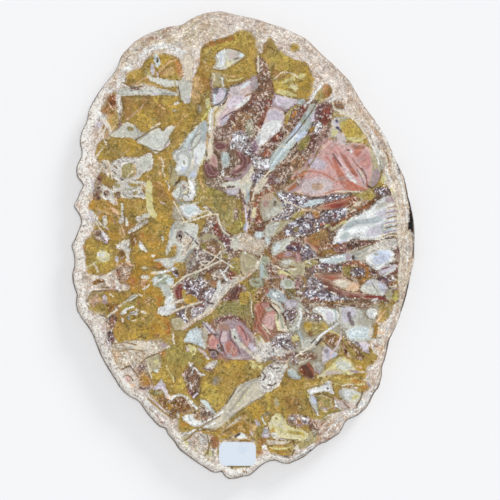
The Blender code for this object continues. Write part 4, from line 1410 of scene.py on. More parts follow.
# %% Small marks: the middle
draw("marks", """
pearl w1.5 244.5,204 1.5,9 1,17
navy w1.8 252,208 -3,4 -1,5
cream w1.3 244,189 1,7 -2,7
umber w1.6 240.5,198 1.5,10 .5,10 -1.5,12
umber w1.4 238,209 .5,4
lime w1.6 241.5,223 .5,4
fig w2.4 243,200 3,6 -3,3
black w2.4 179,235.5 2.5,-.5 -.7,4
dark w1.2 181.2,239 -.4,3.5
plum w1.8 262,224 -3,4
milk w1.2 245,252 1,2
grey w1.2 233,236 3,3
cream w1.2 262,254 -2,7 -3,5
sienna w1.4 270,264 1,6 3,6
umber w1 253,281 5,2
""")

# %% Small marks: lower right
draw("marks", """
lemon w2 276,315 .5,8 2.5,7
sage w1.3 280.5,314 .5,7 2.5,7
milk w1.6 300,308 1,10 -3,8
milk w1.4 304,308 5,4 -1,5
dark w1.2 336,306 9,1
aqua w2 334,310 2,3 0,6
peach w1.5 377,321 4,-5 4,-5
russet w3.6 375.5,325 .5,6 -2.5,7
olive w2.4 387,309 1,7
dark w2 380,338 .5,.5
rust 371,342 6,-1 3,4 -3,3 -5,0
dark w2 373,344.5 2,1
mist w2.4 354,341 9,-.5 11,-1.5
milk w1.4 374,341 8,0
brown w1.4 329,332 7,2 4,3
umber w1.2 322,340 7,6.5 6,5
straw w1.4 330,331 6,2 4,3
dark w1.8 316.5,345 3,-3.5 1.5,-2.5
milk w1.2 312.5,344 5.5,-5.5
dark w1.3 311.5,343 3.5,-3.5
milk w1.6 279,338 7,-2
dark w1.2 272,346 6,-2 6,3
milk w1.4 282,342 6,3
umber w1.4 290,341 6,5
rust w1.6 286,354 4,3
milk w1.4 272,352 4,4
tan w1.6 276,356 4,4
white w1.2 300,352 3,4
umber w2.2 300,356 5,1
plum w1.6 293,354 3,6
milk w1.2 291,358 6,4
dark w1.3 305,366 4,6 2,6
brick w1 308,364 4,6 2,6
dark w2 286,376 4,2
mauve w2.2 316,371 4,2.5
cream w1.2 352,369 6,3 6,0
mauve w2.2 351,371 7,1
peach w1.6 357,366 5,2
cream w1.4 342,386 6,-2 6,1
milk w1.4 351,387 6,1.5
straw w2.2 358,385 6,-1
cream w2 364,380 7,.5
mauve w2 367,382.5 3,3.5
peach w1.3 330.5,381 .8,5
dark w1.8 327.3,388.2 .9,.5
umber w1.3 314,394.5 6,-1.5 8,2.5 6,3.5
milk w1.6 309,401 4,8 5.5,6.3
umber w1.4 307,398 4,8 5,7
lime w1.6 305,392 3,4
milk w1.4 324.5,411.3 1.1,.3
mauve w2 322,408 5,1
olive w3.4 319,418 7,-4.5 15,-4
umber w1 333,408 8,0
milk w1.4 335,401 1,5 5,3
umber w1.4 344,403 5,5
umber w1.6 362.5,392 -1.5,6 -4,7
dark w1.6 357,404 -.3,3.5
grey w1 366,390 6,2
grey w1 360,412 8,-10 6,-10
tan w3 343,416 3,3
umber w1.5 275.5,418 1.5,1
cream w1.4 270,422 8,4 8,3
umber w1 280,438 10,2 8,0
sage w1.6 313,430 3,4 -1,3
straw w1.6 270,447.5 10,2 11,-2.5
umber w1.5 293,441 2.5,7 -3.5,7
cream 293,448 4,-4 2,3 -2,4
rust w2.5 257,452 5,1
milk 262,445 4,-1 1,4 -2,3 -2,-2
rust 258,438 7,-1 1,5 -4,5 -4,-3
umber w2 291,422.5 4,3.5
milk w2 291,418 4,1
russet w2.4 297,419.5 3,3.5
milk w1.8 303,418 5,2.5
slate w2 303,422 5,1
cream w1.4 313,423 4,5
rust w1.6 311,420 4,2 2,5
grey w1.5 262,416 4,-2 4,-1
pale w1.8 262,417 1,4 2.5,3
mustard w3.4 267,394 2,8 -1,8
peach w1.6 378,331 5,3 5,-5
peach w1.4 377,350 6,-4
rust w1.2 379,326 5,-3
milk w1.5 383,343 4,-13 5,-12
tan w1.4 378,360 4,-10 3,-12
chestnut w3.2 345,350 1.5,4
umber w2 352,343 6,6 6,8
olive w1.8 343,338 4,7 5,7
grey w1 264,429.5 4.5,0 -.5,4.5 -4.5,-.5 .5,-4
cream w2.4 325,424 7,-6 8,-5
milk w2 326,432 8,-7 7,-7
rust w1.6 321,425 5,-4
rust w1.8 323,438 7,1
clay w2 319,428 3,7
maroon w1.2 336,420 3,3
milk w2.4 298,456 8,-4 8,-6
grey w1 294,459 10,-5 7,-4
black w2 310,450 2.5,1.5
black w1.8 282.5,457.5 3,-1 3,1
""")

# %% Small marks: the beige vein and the bottom
draw("marks", """
dark w1.4 262,372 4,4 -3,4
dark w1.4 270,366 4,3 5,-1
dark w1.3 267,384 5,2 4,-3
grey w1.4 262,386 4,3
milk w1.6 268,372 6,3 -2,5
milk w1.6 262,382 4,-1
grey w1.3 276,372 5,-1
grey w1 258,380 -8,2 -7,4 -5,6
grey w1 262,397 -8,4 -14,9 -8,7
dark w1 236,388 -5,9 -5,7
putty w2.2 252,384 -8,8 -6,10 -8,9
lemon w1.6 250,390 -6,7 -6,8
umber w1.2 197,429.5 15,-9.5 8,-4
milk w1.4 200,424 16,-7 7,-6
milk w1.4 188,433 8,-2 19,-8
umber w1 205,430.5 10,1 5,-3
dark w2.4 235.5,436.4 4,-2.4
gold w2 222,438 8,-4
grey w1 198,442 8,-2 8,1
grey w1 199,449 9,-1 8,1
rust w3 213,438 2,8
umber w1.2 207,434 2,10 -1,10
cream w2 203,455 9,3
peach w2.4 221,467 3,3
umber w1.2 226,466 14,.5 10,-.5
bronze w2.4 244,471.5 4,.5
pearl w1.1 250,431 3,4
umber w1.2 222,433 8,-4 8,-4
brown w2 240,441 7,-1 5,4
olive w2 243,408 5,4 4,6
""")

# %% Small marks: lower left
draw("marks", """
umber w1.2 141,363 6,-5.5 11,-4 8,-4
umber w1.5 122,369.5 5,-3 3.5,-.5 8,11.5
grey w1 120,357 10,-1 10,-4 8,-2
grey w1 114,346 8,3 9,-2
white w2 118,374 4,4 1,6
umber w1.6 148.5,370 1.5,7 2,6
cream w1.4 147.5,363 1.5,8 2.5,7
tan w1.6 138,379.5 3,-4 4,-2.5
straw w1.2 166,365 2,5 3,4 3.5,7.5 -2.5,5.5
umber w1.4 174,376 2,4 -3,5
milk w1.6 189,363 4,5 -1,5
milk w1.4 195,368 5,6 5,1
milk w1.6 190,383 2,5 -2,2
pearl w2.2 194,397 3,-3.5
dark w1.8 189,391 4,3 2,-2
maroon s1 187.5,388 5.5,3 -1,5 -4,-2
blush w2.4 183,374.5 1,1
dark w1.6 185,377 3,3
maroon w1.6 203,368.5 6,1 5,2.5
milk w2.2 171,397.5 9,-3 7,3 10,11
peach w1.4 166,397 6,3.5
milk w1.3 169,401 4,-3
tan w1.6 151,396 5,1.5 4,4.5
milk w1.4 177.5,412 1,5
steel w1.4 188.5,416 1.5,5
dark w1.3 195,409 0,4.5
dark w1.6 204,411 2,4
dark w1.4 209,413 2,4
milk w1.6 206,409 2,3
rust w1.4 203,416 3,3
brown w2 148,399 18,15 7,5
cream w1.6 140,396 10,7 19,15
lavender w2 144,400 8,8 6,5
umber w1.2 150,409 6,5 4,6
rust w1.6 158,417 5,7
umber w1.4 177.5,442.5 8.5,-2.5 10,-9 9,-1.2
milk w1.4 180,437 4,-3.5 12,-3.9
grey w1 186,452 4,-8 5,-8
cream w1.4 190,456 6,-10 4,-9
grey w1 196,458 6,-10 3,-8
umber w1 203,459 5,-9 3,-9
dark w1.5 213,451 .6,5
cream w1.4 173.5,333 -.2,6 1.2,5
shell w3 199,349 5,4 3,4
straw s1 187,345 4,-1 3,4 -2,5 -4,-3
straw w1.4 194,346 2,5 -3,4
blush w1.6 186,346 2,5
umber w1.2 200,428 10,1 7,2.5
umber w1 122,377 5,-2 4,2 2,4
umber w1 112,344 12,-2 12,3
brown w1 118,352 12,-3 14,2
milk w1.2 206,357 3,2
""")

# %% Small marks: top
draw("marks", """
bluish w1.2 221,54 .5,5 -.7,5
umber w1.4 235,59 3.5,-1
ice 240,53 5,1.5 -3,2.5 -3,-1
umber w1.1 212,68.5 6,2 7,-.3 7,-2.7 13,-10
cream w1.1 213,67 6,2.3 7,-.7
tan w1.2 224,75 7,1.5 8,-.5
straw w1.2 227,80 8,.5 7,-2
brown w1.2 224,82 8,1.5 15,-6
cream w1.2 213,73 2,4 -1,3
milk w1.3 222,78 1,8
dark w1.1 231,86.5 5,-1 6,-3
cream w1.6 258.5,56 -.5,8 .5,8
cream w1.1 274,79 3,-2 4,-4.7 5,-.5 9,2.7 3,2.5
brown w1.2 282,79 2,-3 3,-2
olive w1.2 283,84.5 7,-2.5 7,-2
taupe w2.4 211.5,80 .5,10 -.5,7 .5,7
steel w2.4 223.5,89 2,2.5
ice w2 214.5,95 -.5,8
""")

# %% Small marks: pink fan
draw("marks", """
maroon w1.8 333,154 4,6 4,6
salmon w2 352,183 6,4 8,3
maroon w1 357,170 4,6 3,8
plum w0.9 362,168 4,6 1,6
rose w1.3 333,143 4,4 4,5
rose w1.3 328,146 5,4 4,4
cream s1 359,170 4,1 2,6 -3,1
milk w1.8 351,150.5 .6,1.5
dark w1.2 347,149.5 2.5,1
brick w1.2 352,158 4,6 5,5 4,6 2,6 0,6
salmon w1.6 333,158 10,17 7,8 8,5
""")

# %% Veins and cracks
draw("veins", """
umber w1 211,75 -5,15 -8,20 -7,20
cream w1.5 173,334 0,5 1,4
umber w1.2 204,160 -1,10 1,9 2,5
""")

# %% Veins and cracks: arms above the middle
draw("veins", """
milk w2.4 320,86 -10,16 -5,3
plum w1.6 334,96 -6,5 -6,6
cream w1.6 332,100 2,9 16,3.5
milk w1.3 329,101 5,-2 7,-2
dark w1.1 318,100 -6,11 -8,11 -8,11 -10,10
cream w1.1 275,144 5,2 6,1
umber w1.1 321,146 -4,6 -3,8 -5,6
iron w1.6 227.5,90 -1,5 -3.5,6 -5,3.5 -4,1
""")

# %% Veins and cracks: the star's upper half
draw("veins", """
cream w1.6 270,171 -13,14 -3,8 -1.5,7
cream w1.5 284,201 7,2.5 13,6
dark w1.2 261,223 11,-3 3,-3.5 4,2
sienna w1.2 258,214 4,4 0,6
umber w1 330,194.5 14,-1 8,0
milk w1.2 369,140 9,19 1,6
cream w2 341,112.5 9,3.5 6,5 9,12 4,4
cream w1.1 325,192 11,-1 14,.5 12,.5
salmon w1.1 325,193.5 9,-3 6,-.5
""")

# %% Veins and cracks: the star's lower half
draw("veins", """
umber w1.2 358,250 6,-2.5 7,-3
umber w1 318,257 4,1 8,-1
plum w1 352,263 -6,0 -5,3
umber w1 361,285 5,-4 6,-4
cream w1 306,262 6,-3.5 6,-.5
""")

# %% Veins and cracks: the grainy heart
draw("veins", """
cream w2 217.5,214 1,7 5,11 5.5,3
cream w1.3 229,238 4,1
cream w1.6 221,251 -4,5 -6,6
cream w1.5 203,250 14,7 17,11
cream w1.5 201,264 -1,-2 6,-1 5,1 -5,3.5 -4,-.5
cream w1.9 172,287 11,-9 5,-3 17,-6.5 16,-8
milk w2.4 152,273 12,-1 12,-4
beige w3.4 258,262 -2,6 -12,10 -8,4 -7,7 -13,15.5 -7,7.5 -19,11 -7,6
peach w1.2 231,288.5 -14,17.5 -7,8
dark w1 236,284 -7,7 -14,16
cream w2 171,312.5 9,-4 15,-5 7,-1.5
cream w2 171,304 7,-2.5 6,-2.5
clay w1.4 184,330.5 15,-11 7,-4
cream w1.2 252,301 -1,8 2,8
cream w1.4 277,306 3,6
cream w1.3 262,324 4,5 4,5
umber w1.2 273,332 7,-.5 6,1.5
stone w1.2 228,265 8,-3
cream w1.4 173,201 4,6 7,14
cream w1.9 181,223.5 19,-5.5 8,-3.5 9.5,-.5
cream w1.3 188,219.5 20,-10 3,3.5
""")

# %% Veins and cracks: lower right
draw("veins", """
milk w2 338,323 -6,5 -7,4 -5,4 -3,4
cream w1.6 314,345 -11,6 -8,6
blush w1.7 341,332 0,5 -5,11 -3,3 -3,6
cream w1.3 299,363 6,-2 6,-3
""")

# %% [markdown]
# ## Laying the shapes on the mesh
#
# A shape's edge would be jagged if each point of the mesh only had a colour. So each point also keeps
# how far inside or outside the shape it lies. Blender blends that number across every triangle, and the
# material cuts it at zero, which gives a clean edge that a little noise can make as ragged as real stone.

# %% Round a shape's corners
FAR_LEVEL = 8.0
CORNER_SHARE = 0.25
CORNER_PX = 1.6


def round_corners(points, closed):
    rounded = []
    count = len(points)
    for i in range(count):
        if not closed and i in (0, count - 1):
            rounded.append(points[i])
            continue
        for neighbour in (points[i - 1], points[(i + 1) % count]):
            way = neighbour - points[i]
            rounded.append(points[i] + way * min(CORNER_SHARE, CORNER_PX / max(np.linalg.norm(way), 1e-6)))
    return np.array(rounded)


# %% How far each point lies inside a shape
def inside_distance(spots, outline, closed):
    """Pixels to the outline, positive inside a closed one and negative elsewhere."""
    starts = outline if closed else outline[:-1]
    ends = np.roll(outline, -1, axis=0) if closed else outline[1:]
    nearest = np.full(len(spots), 1e9)
    inside = np.zeros(len(spots), dtype=bool)
    for start, end in zip(starts, ends):
        way = end - start
        offset = spots - start
        share = np.clip(offset @ way / max(way @ way, 1e-9), 0.0, 1.0)
        nearest = np.minimum(nearest, np.hypot(*(offset - share[:, None] * way).T))
        if closed and way[1] != 0.0:
            crossed = (start[1] > spots[:, 1]) != (end[1] > spots[:, 1])
            inside ^= crossed & (offset[:, 0] < offset[:, 1] * way[0] / way[1])
    return np.where(inside, nearest, -nearest)


def paint_layer(spots, shapes, grains, noted):
    """The tint and the level of one layer at every spot. The noted kinds of stone set the grain there."""
    tint = np.zeros((len(spots), 3))
    level = np.full(len(spots), -FAR_LEVEL)
    for shape in shapes:
        points = np.array(shape["points"])
        width = shape["w"]
        softness = shape["s"]
        closed = width is None
        reach = FAR_LEVEL * softness + (width or 0.0)
        near = np.all((spots > points.min(axis=0) - reach) & (spots < points.max(axis=0) + reach), axis=1)
        chosen = np.nonzero(near)[0]
        depth = inside_distance(spots[chosen], round_corners(points, closed), closed)
        new = np.clip((depth if closed else depth + width / 2) / softness, -FAR_LEVEL, FAR_LEVEL)
        *srgb, kind = PALETTE[shape["stone"]]
        wins = (new > 0.0) | (new > level[chosen])
        tint[chosen[wins]] = [linear(channel) for channel in srgb]
        level[chosen] = np.maximum(level[chosen], new)
        if kind in noted:
            grains[chosen[new > 0.0]] = [float(kind == name) for name in KINDS]
    return np.column_stack((tint, level))


# %% [markdown]
# ## The slab's mesh
#
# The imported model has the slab's true outline, its worn shoulder and its bark ridges, but few points.
# So rays are shot at it from all round, at several heights, and the wall is rebuilt from where they
# land, with finer bark. The face is filled with small triangles, because they carry the markings, and
# extra points run along every thin vein, so that none is lost between two triangles.

# %% Rays for the wall
COLUMNS = 1000
FACE_STEP = 0.00074
BACK_STEP = 0.0023
TOP_SAMPLE = TOP - 0.00005
RING_SHARES = (1.0, 0.975, 0.94, 0.89, 0.82, 0.72, 0.6, 0.47, 0.34, 0.21, 0.1, 0.03, 0.0)

cad_slab = bpy.data.objects[SLAB]
cad_tree = BVHTree.FromPolygons([point.co for point in cad_slab.data.vertices],
                                [face.vertices for face in cad_slab.data.polygons])


def wall_radius(azimuth, height):
    outward = Vector((math.cos(azimuth), math.sin(azimuth), 0.0))
    hit = cad_tree.ray_cast(outward * 0.2 + Vector((0.0, 0.0, height)), -outward)[0]
    return math.hypot(hit.x, hit.y)


# %% Columns of equal width round the slab
even_turns = np.linspace(-math.pi, math.pi, 4 * COLUMNS + 1)
even_radii = np.array([wall_radius(turn, TOP_SAMPLE) for turn in even_turns])
even_ring = np.column_stack((even_radii * np.cos(even_turns), even_radii * np.sin(even_turns)))
walked = np.concatenate(([0.0], np.cumsum(np.hypot(*np.diff(even_ring, axis=0).T))))
turns = np.interp(np.arange(COLUMNS) * walked[-1] / COLUMNS, walked, even_turns)
outward = np.column_stack((np.cos(turns), np.sin(turns)))
print(f"the rim is {1000 * walked[-1]:.0f} mm long")

# %% Bark on the wall
BARK_RELIEF = 0.0003
RIDGE_WIDTH = 0.0016
rings = []
for share in RING_SHARES:
    height = min(max(share * TOP, 0.00002), TOP_SAMPLE)
    radii = np.array([wall_radius(turn, height) for turn in turns])
    fade = math.sin(math.pi * share) ** 0.7 if 0.0 < share < 1.0 else 0.0
    spots = outward * radii[:, None]
    ridges = [noise.fractal(Vector((x, y, share * TOP * 0.35)) / RIDGE_WIDTH, 0.7, 2.0, 3) for x, y in spots]
    spots = spots - outward * (BARK_RELIEF * fade * (0.5 + 0.5 * np.clip(ridges, -1.0, 1.0)))[:, None]
    rings.append(np.column_stack((spots, np.full(COLUMNS, share * TOP))))
top_ring = rings[0][:, :2]
back_ring = rings[-1][:, :2]


# %% Points inside an outline
def fill_points(ring, step, extra=None):
    """A triangular lattice inside the ring, with the extra points put in its place where they lie."""
    low = ring.min(axis=0)
    high = ring.max(axis=0)
    rows = np.arange(low[1], high[1], step * math.sqrt(3.0) / 2.0)
    spots = [np.column_stack((np.arange(low[0] + (i % 2) * step / 2.0, high[0], step),
                              np.full(len(np.arange(low[0] + (i % 2) * step / 2.0, high[0], step)), row)))
             for i, row in enumerate(rows)]
    spots = np.concatenate(spots)
    reach = np.interp(np.arctan2(spots[:, 1], spots[:, 0]), even_turns, even_radii)
    spots = spots[np.hypot(*spots.T) < reach + 0.001]
    spots = spots[inside_distance(spots, ring, True) > 0.45 * step]
    if extra is None:
        return spots
    finder = kdtree.KDTree(len(extra))
    for i, (x, y) in enumerate(extra):
        finder.insert((x, y, 0.0), i)
    finder.balance()
    clear = [finder.find((x, y, 0.0))[2] > 0.48 * step for x, y in spots]
    return np.concatenate((spots[np.array(clear)], extra))


def fill_faces(ring, inner):
    """Triangles between the ring's points and the inner ones. All keep their order."""
    count = len(ring)
    flat = [Vector(spot) for spot in np.concatenate((ring, inner))]
    edges = [(i, (i + 1) % count) for i in range(count)]
    made = geometry.delaunay_2d_cdt(flat, edges, [], 1, 1e-8)
    assert len(made[0]) == len(flat)
    return [tuple(made[3][corner][0] for corner in face) for face in made[2]]


# %% Points along the thin strokes
STROKE_STEP_PX = 1.0
THIN_STROKE_PX = 3.2
SPACING_PX = 0.75


def stroke_points():
    kept = []
    taken = set()
    for name in ("forms", "insets", "marks", "veins"):
        for shape in LAYERS[name]:
            if shape["w"] is None or shape["w"] > THIN_STROKE_PX:
                continue
            line = round_corners(np.array(shape["points"]), False)
            lengths = np.hypot(*np.diff(line, axis=0).T)
            total = np.concatenate(([0.0], np.cumsum(lengths)))
            steps = max(2, int(total[-1] / STROKE_STEP_PX))
            for place in np.linspace(0.0, total[-1], steps):
                spot = (np.interp(place, total, line[:, 0]), np.interp(place, total, line[:, 1]))
                cell = (round(spot[0] / SPACING_PX), round(spot[1] / SPACING_PX))
                if cell not in taken:
                    taken.add(cell)
                    kept.append(spot)
    return to_metres(kept)


extra_points = stroke_points()
extra_points = extra_points[inside_distance(extra_points, top_ring, True) > 0.45 * FACE_STEP]
face_points = fill_points(top_ring, FACE_STEP, extra_points)
back_points = fill_points(back_ring, BACK_STEP)
face_triangles = fill_faces(top_ring, face_points)
back_triangles = fill_faces(back_ring, back_points)
print(f"{len(face_triangles)} triangles on the face, {len(extra_points)} points along veins")

# %% [markdown]
# A few open pits go into the face, where the stone never filled with agate or a crystal fell out.

# %% Open pits
PITS = [
    ((180.0, 236.6), 3.4, 1.9, 0.0011, 80.0),
    ((285.5, 457.2), 4.2, 1.7, 0.0010, 4.0),
    ((312.4, 450.6), 2.4, 1.6, 0.0009, -25.0),
    ((380.2, 338.0), 1.6, 1.3, 0.0008, 0.0),
]
face_heights = np.full(len(face_points), TOP)
for middle, half_length, half_width, depth, turn_deg in PITS:
    turn = math.radians(turn_deg)
    across = to_pixels(face_points) - middle
    along = across[:, 0] * math.cos(turn) - across[:, 1] * math.sin(turn)
    aside = across[:, 0] * math.sin(turn) + across[:, 1] * math.cos(turn)
    share = np.clip(1.0 - (along / half_length) ** 2 - (aside / half_width) ** 2, 0.0, 1.0)
    face_heights -= depth * np.sqrt(share)
print(f"the deepest pit goes {1000 * (TOP - face_heights.min()):.1f} mm down")

# %% Join face, wall and back into one solid
ring_count = len(rings)
points = np.concatenate(rings + [np.column_stack((face_points, face_heights)),
                                 np.column_stack((back_points, np.zeros(len(back_points))))])
first_face = ring_count * COLUMNS
first_back = first_face + len(face_points)
last_ring = (ring_count - 1) * COLUMNS


def shifted(triangles, ring_start, inner_start, flip):
    moved = []
    for triangle in triangles:
        corners = [ring_start + c if c < COLUMNS else inner_start + c - COLUMNS for c in triangle]
        moved.append(corners[::-1] if flip else corners)
    return moved


faces = shifted(face_triangles, 0, first_face, False)
wall_start = len(faces)
for ring in range(ring_count - 1):
    for column in range(COLUMNS):
        beside = (column + 1) % COLUMNS
        faces.append([ring * COLUMNS + beside, ring * COLUMNS + column,
                      (ring + 1) * COLUMNS + column, (ring + 1) * COLUMNS + beside])
back_start = len(faces)
faces.extend(shifted(back_triangles, last_ring, first_back, True))
slab_mesh = bpy.data.meshes.new("petrified_slab")
slab_mesh.from_pydata(points.tolist(), [], faces)
slab = bpy.data.objects.new("petrified_slab", slab_mesh)
bpy.context.scene.collection.objects.link(slab)
finish_of_face = np.zeros(len(faces), dtype=int)
finish_of_face[wall_start:back_start] = 1
finish_of_face[back_start:] = 2
slab_mesh.polygons.foreach_set("material_index", finish_of_face)
print(f"{len(faces)} faces, {sum(len(face) - 2 for face in faces)} triangles in the slab")

# %% Smooth bark, with crisp edges at the two saw cuts
smooth = np.zeros(len(faces), dtype=bool)
smooth[:back_start] = True
slab_mesh.polygons.foreach_set("use_smooth", smooth)
slab_mesh.update()
slab_mesh.set_sharp_from_angle(angle=math.radians(40.0))

# %% [markdown]
# The mesh is unwrapped for texture baking: the face is laid out at the left, the back at the lower right,
# and the wall in strips above it.

# %% Unwrap
FACE_TEXEL = 0.00027
BACK_TEXEL = 0.0006
TEXTURE_SIDE = 1024.0
MARGIN = 8.0
STRIPS = 9
STRIP_LONG = 300.0
STRIP_HIGH = 44.0
face_low = top_ring.min(axis=0)
back_low = back_ring.min(axis=0)
right_part = MARGIN + (slab_high.x - slab_low.x) / FACE_TEXEL + MARGIN
strip_part = MARGIN + (slab_high.y - slab_low.y) / BACK_TEXEL + MARGIN
per_strip = COLUMNS // STRIPS + 1
corner_places = []
for number, face in enumerate(faces):
    if number < wall_start:
        for corner in face:
            corner_places.append(MARGIN + (points[corner, :2] - face_low) / FACE_TEXEL)
    elif number >= back_start:
        for corner in face:
            corner_places.append((right_part, MARGIN) + (points[corner, :2] - back_low) / BACK_TEXEL)
    else:
        ring, column = divmod(number - wall_start, COLUMNS)
        strip, along = divmod(column, per_strip)
        for right, down in ((1, 0), (0, 0), (0, 1), (1, 1)):
            corner_places.append((right_part + (along + right) * STRIP_LONG / per_strip,
                                  strip_part + strip * (STRIP_HIGH + MARGIN)
                                  + (ring + down) * STRIP_HIGH / (ring_count - 1)))
unwrap = slab_mesh.uv_layers.new(name="OFBake")
unwrap.data.foreach_set("uv", (np.array(corner_places) / TEXTURE_SIDE).ravel())
print(f"the unwrap spans {np.array(corner_places).max() / TEXTURE_SIDE:.2f} of the texture")

# %% Paint the layers on the mesh
spots_px = to_pixels(points[:, :2])
NOTED = {"stains": (), "insets": KINDS, "marks": KINDS, "veins": KINDS}
grains = np.zeros((len(points), len(KINDS)))
grains[:, KINDS.index("flecked")] = 1.0
for name, shapes in LAYERS.items():
    painted = paint_layer(spots_px, shapes, grains, NOTED.get(name, KINDS + ("plain",)))
    layer = slab_mesh.attributes.new(name, "FLOAT_COLOR", "POINT")
    layer.data.foreach_set("color", painted.astype(np.float32).ravel())
for number, kind in enumerate(KINDS):
    layer = slab_mesh.attributes.new(kind, "FLOAT", "POINT")
    layer.data.foreach_set("value", grains[:, number].astype(np.float32))
    print(f"{100 * grains[first_face:first_back, number].mean():.0f}% of the face is {kind}")

# %% Distance from the slice's outline, in pixels
ring_radii = np.array([np.hypot(*ring[:, :2].T) for ring in rings])
widest = ring_radii.max(axis=0)
edge_px = np.zeros(len(points))
edge_px[:first_face] = (widest - ring_radii).ravel() / PIXEL
shoulder_px = np.interp(np.arctan2(points[first_face:, 1], points[first_face:, 0]), turns,
                        (widest - ring_radii[0]) / PIXEL)
edge_px[first_face:] = inside_distance(points[first_face:, :2], top_ring, True) / PIXEL + shoulder_px
edge_px[first_back:] = 100.0
layer = slab_mesh.attributes.new("edge", "FLOAT", "POINT")
layer.data.foreach_set("value", edge_px.astype(np.float32))
print(f"the worn shoulder is up to {shoulder_px.max():.0f} pixels wide")

# %% [markdown]
# ## Shader sums in Python
#
# Node trees for stone grow long, so a small class wraps a socket: a sum or product of wires adds the
# Math nodes for it, and one method adds any other node.

# %% The wire class
class Wire:
    """One socket of a node tree, which Python's operators can work with."""

    def __init__(self, tree, socket=None):
        self.tree = tree
        self.socket = socket

    def node(self, kind, settings=None, inputs=None, output=0):
        """Add any node: its settings come first, then the values or links of its sockets."""
        made = self.tree.nodes.new(kind)
        for name, value in (settings or {}).items():
            setattr(made, name, value)
        for name, value in (inputs or {}).items():
            if isinstance(value, Wire):
                self.tree.links.new(value.socket, made.inputs[name])
            else:
                made.inputs[name].default_value = value
        return Wire(self.tree, made.outputs[output])

    def also(self, output):
        """Another output of the same node."""
        return Wire(self.tree, self.socket.node.outputs[output])

    def math(self, operation, first, second):
        return self.node("ShaderNodeMath", {"operation": operation}, {0: first, 1: second})

    def __add__(self, other):
        return self.math("ADD", self, other)

    def __radd__(self, other):
        return self.math("ADD", other, self)

    def __sub__(self, other):
        return self.math("SUBTRACT", self, other)

    def __rsub__(self, other):
        return self.math("SUBTRACT", other, self)

    def __mul__(self, other):
        return self.math("MULTIPLY", self, other)

    def __rmul__(self, other):
        return self.math("MULTIPLY", other, self)

    def step(self, low, high):
        """0 below the low value, 1 above the high one, and smooth between."""
        return self.node("ShaderNodeMapRange", {"interpolation_type": "SMOOTHSTEP"},
                         {"Value": self, "From Min": low, "From Max": high})

    def over(self, below, factor, blend="MIX"):
        """This colour laid over another one."""
        return self.node("ShaderNodeMix", {"data_type": "RGBA", "blend_type": blend},
                         {0: factor, 6: below, 7: self}, 2)

    def times(self, factor):
        """This colour made lighter or darker."""
        return self.node("ShaderNodeVectorMath", {"operation": "SCALE"}, {0: self, "Scale": factor})

    def cloud(self, place, size, detail=2.0, roughness=0.5, distortion=0.0):
        """Noise whose blots are about this many pixels wide, around 0."""
        return self.node("ShaderNodeTexNoise", None,
                         {"Vector": place, "Scale": 1.0 / size, "Detail": detail,
                          "Roughness": roughness, "Distortion": distortion}) - 0.5


def rgba(red, green, blue):
    return (linear(red), linear(green), linear(blue), 1.0)


def new_material(name):
    """A material, its shader, and a wire to start from."""
    material = bpy.data.materials.new(name)
    material.use_nodes = True
    return material, material.node_tree.nodes["Principled BSDF"], Wire(material.node_tree)


def plug(wire, shader, socket):
    wire.tree.links.new(wire.socket, shader.inputs[socket])


def tinted(start, colour, below, factor, blend="MIX"):
    """A plain colour laid over a wire."""
    return start.node("ShaderNodeMix", {"data_type": "RGBA", "blend_type": blend},
                      {0: factor, 6: below, 7: rgba(*colour)}, 2)


# %% [markdown]
# ## The painted stone
#
# The same function paints the polished face and the sawn back, because a stone's pattern runs through
# it. It starts with the rind, then lays each layer over it, and last adds each stone's own grain:
# cloudy iron stains in the jasper, grains with painted white glints for their sparkle in the crystal
# crusts, growth lines in the agate.

# %% Places in the stone
HEART_PX = (247.0, 245.0)
heart = to_metres(HEART_PX) / PIXEL


def stone_places(start):
    """The place in pixels, and two more in which noise is drawn out along the arms and along the rim."""
    place = start.node("ShaderNodeTexCoord", output="Object")
    place = start.node("ShaderNodeVectorMath", {"operation": "SCALE"}, {0: place, "Scale": 1.0 / PIXEL})
    ways = start.node("ShaderNodeVectorMath", {"operation": "SUBTRACT"},
                      {0: place, 1: (heart[0], heart[1], 0.0)})
    sides = start.node("ShaderNodeSeparateXYZ", None, {0: ways})
    turn = start.math("ARCTAN2", sides.also(1), sides)
    reach = start.node("ShaderNodeVectorMath", {"operation": "LENGTH"}, {0: ways}, "Value")
    arms = start.node("ShaderNodeCombineXYZ", None, {0: reach * 0.28, 1: turn * 85.0})
    edge = start.node("ShaderNodeAttribute", {"attribute_name": "edge"}, output="Fac")
    rim = start.node("ShaderNodeCombineXYZ", None, {0: turn * 60.0, 1: edge})
    return place, arms, rim


# %% Shading that keeps the hue
# How strongly each noise field lightens and darkens each kind of stone, from coarse to fine.
SHADING = {
    "mottled": {"swirls": 1.5, "rays": 0.9, "curls": 2.3, "flecks": 1.5},
    "crystal": {"swirls": 0.8, "rays": 1.4, "curls": 1.4, "flecks": 1.6},
    "frosted": {"swirls": 0.6, "rays": 0.8, "curls": 1.2, "flecks": 1.4},
    "granular": {"swirls": 0.8, "rays": 1.6, "curls": 1.6, "flecks": 1.6},
    "banded": {"swirls": 0.6, "rays": 1.2, "curls": 1.1, "flecks": 0.8},
    "flecked": {"swirls": 0.7, "rays": 0.0, "curls": 1.7, "flecks": 1.3},
    "plain": {"swirls": 0.6, "rays": 1.5, "curls": 1.2, "flecks": 0.9},
}


def shaded(colour, fields, kinds):
    """Every field times the strength that it has in the stone at this spot."""
    share = 1.0
    for name, field in fields.items():
        strength = SHADING["plain"][name]
        for kind, mask in kinds.items():
            strength = strength + mask * (SHADING[kind][name] - SHADING["plain"][name])
        share = share + field * strength
    return colour.times(share.math("MAXIMUM", share, 0.35))


# %% Grains
def two_tone(start, colour, field, low, high, amount, dark, light, balance=1.0):
    """Stains where a noise field is high, and pale spots where it is low."""
    colour = tinted(start, dark, colour, field.step(low, high) * amount)
    return tinted(start, light, colour, (0.0 - field).step(low, high) * amount * balance)


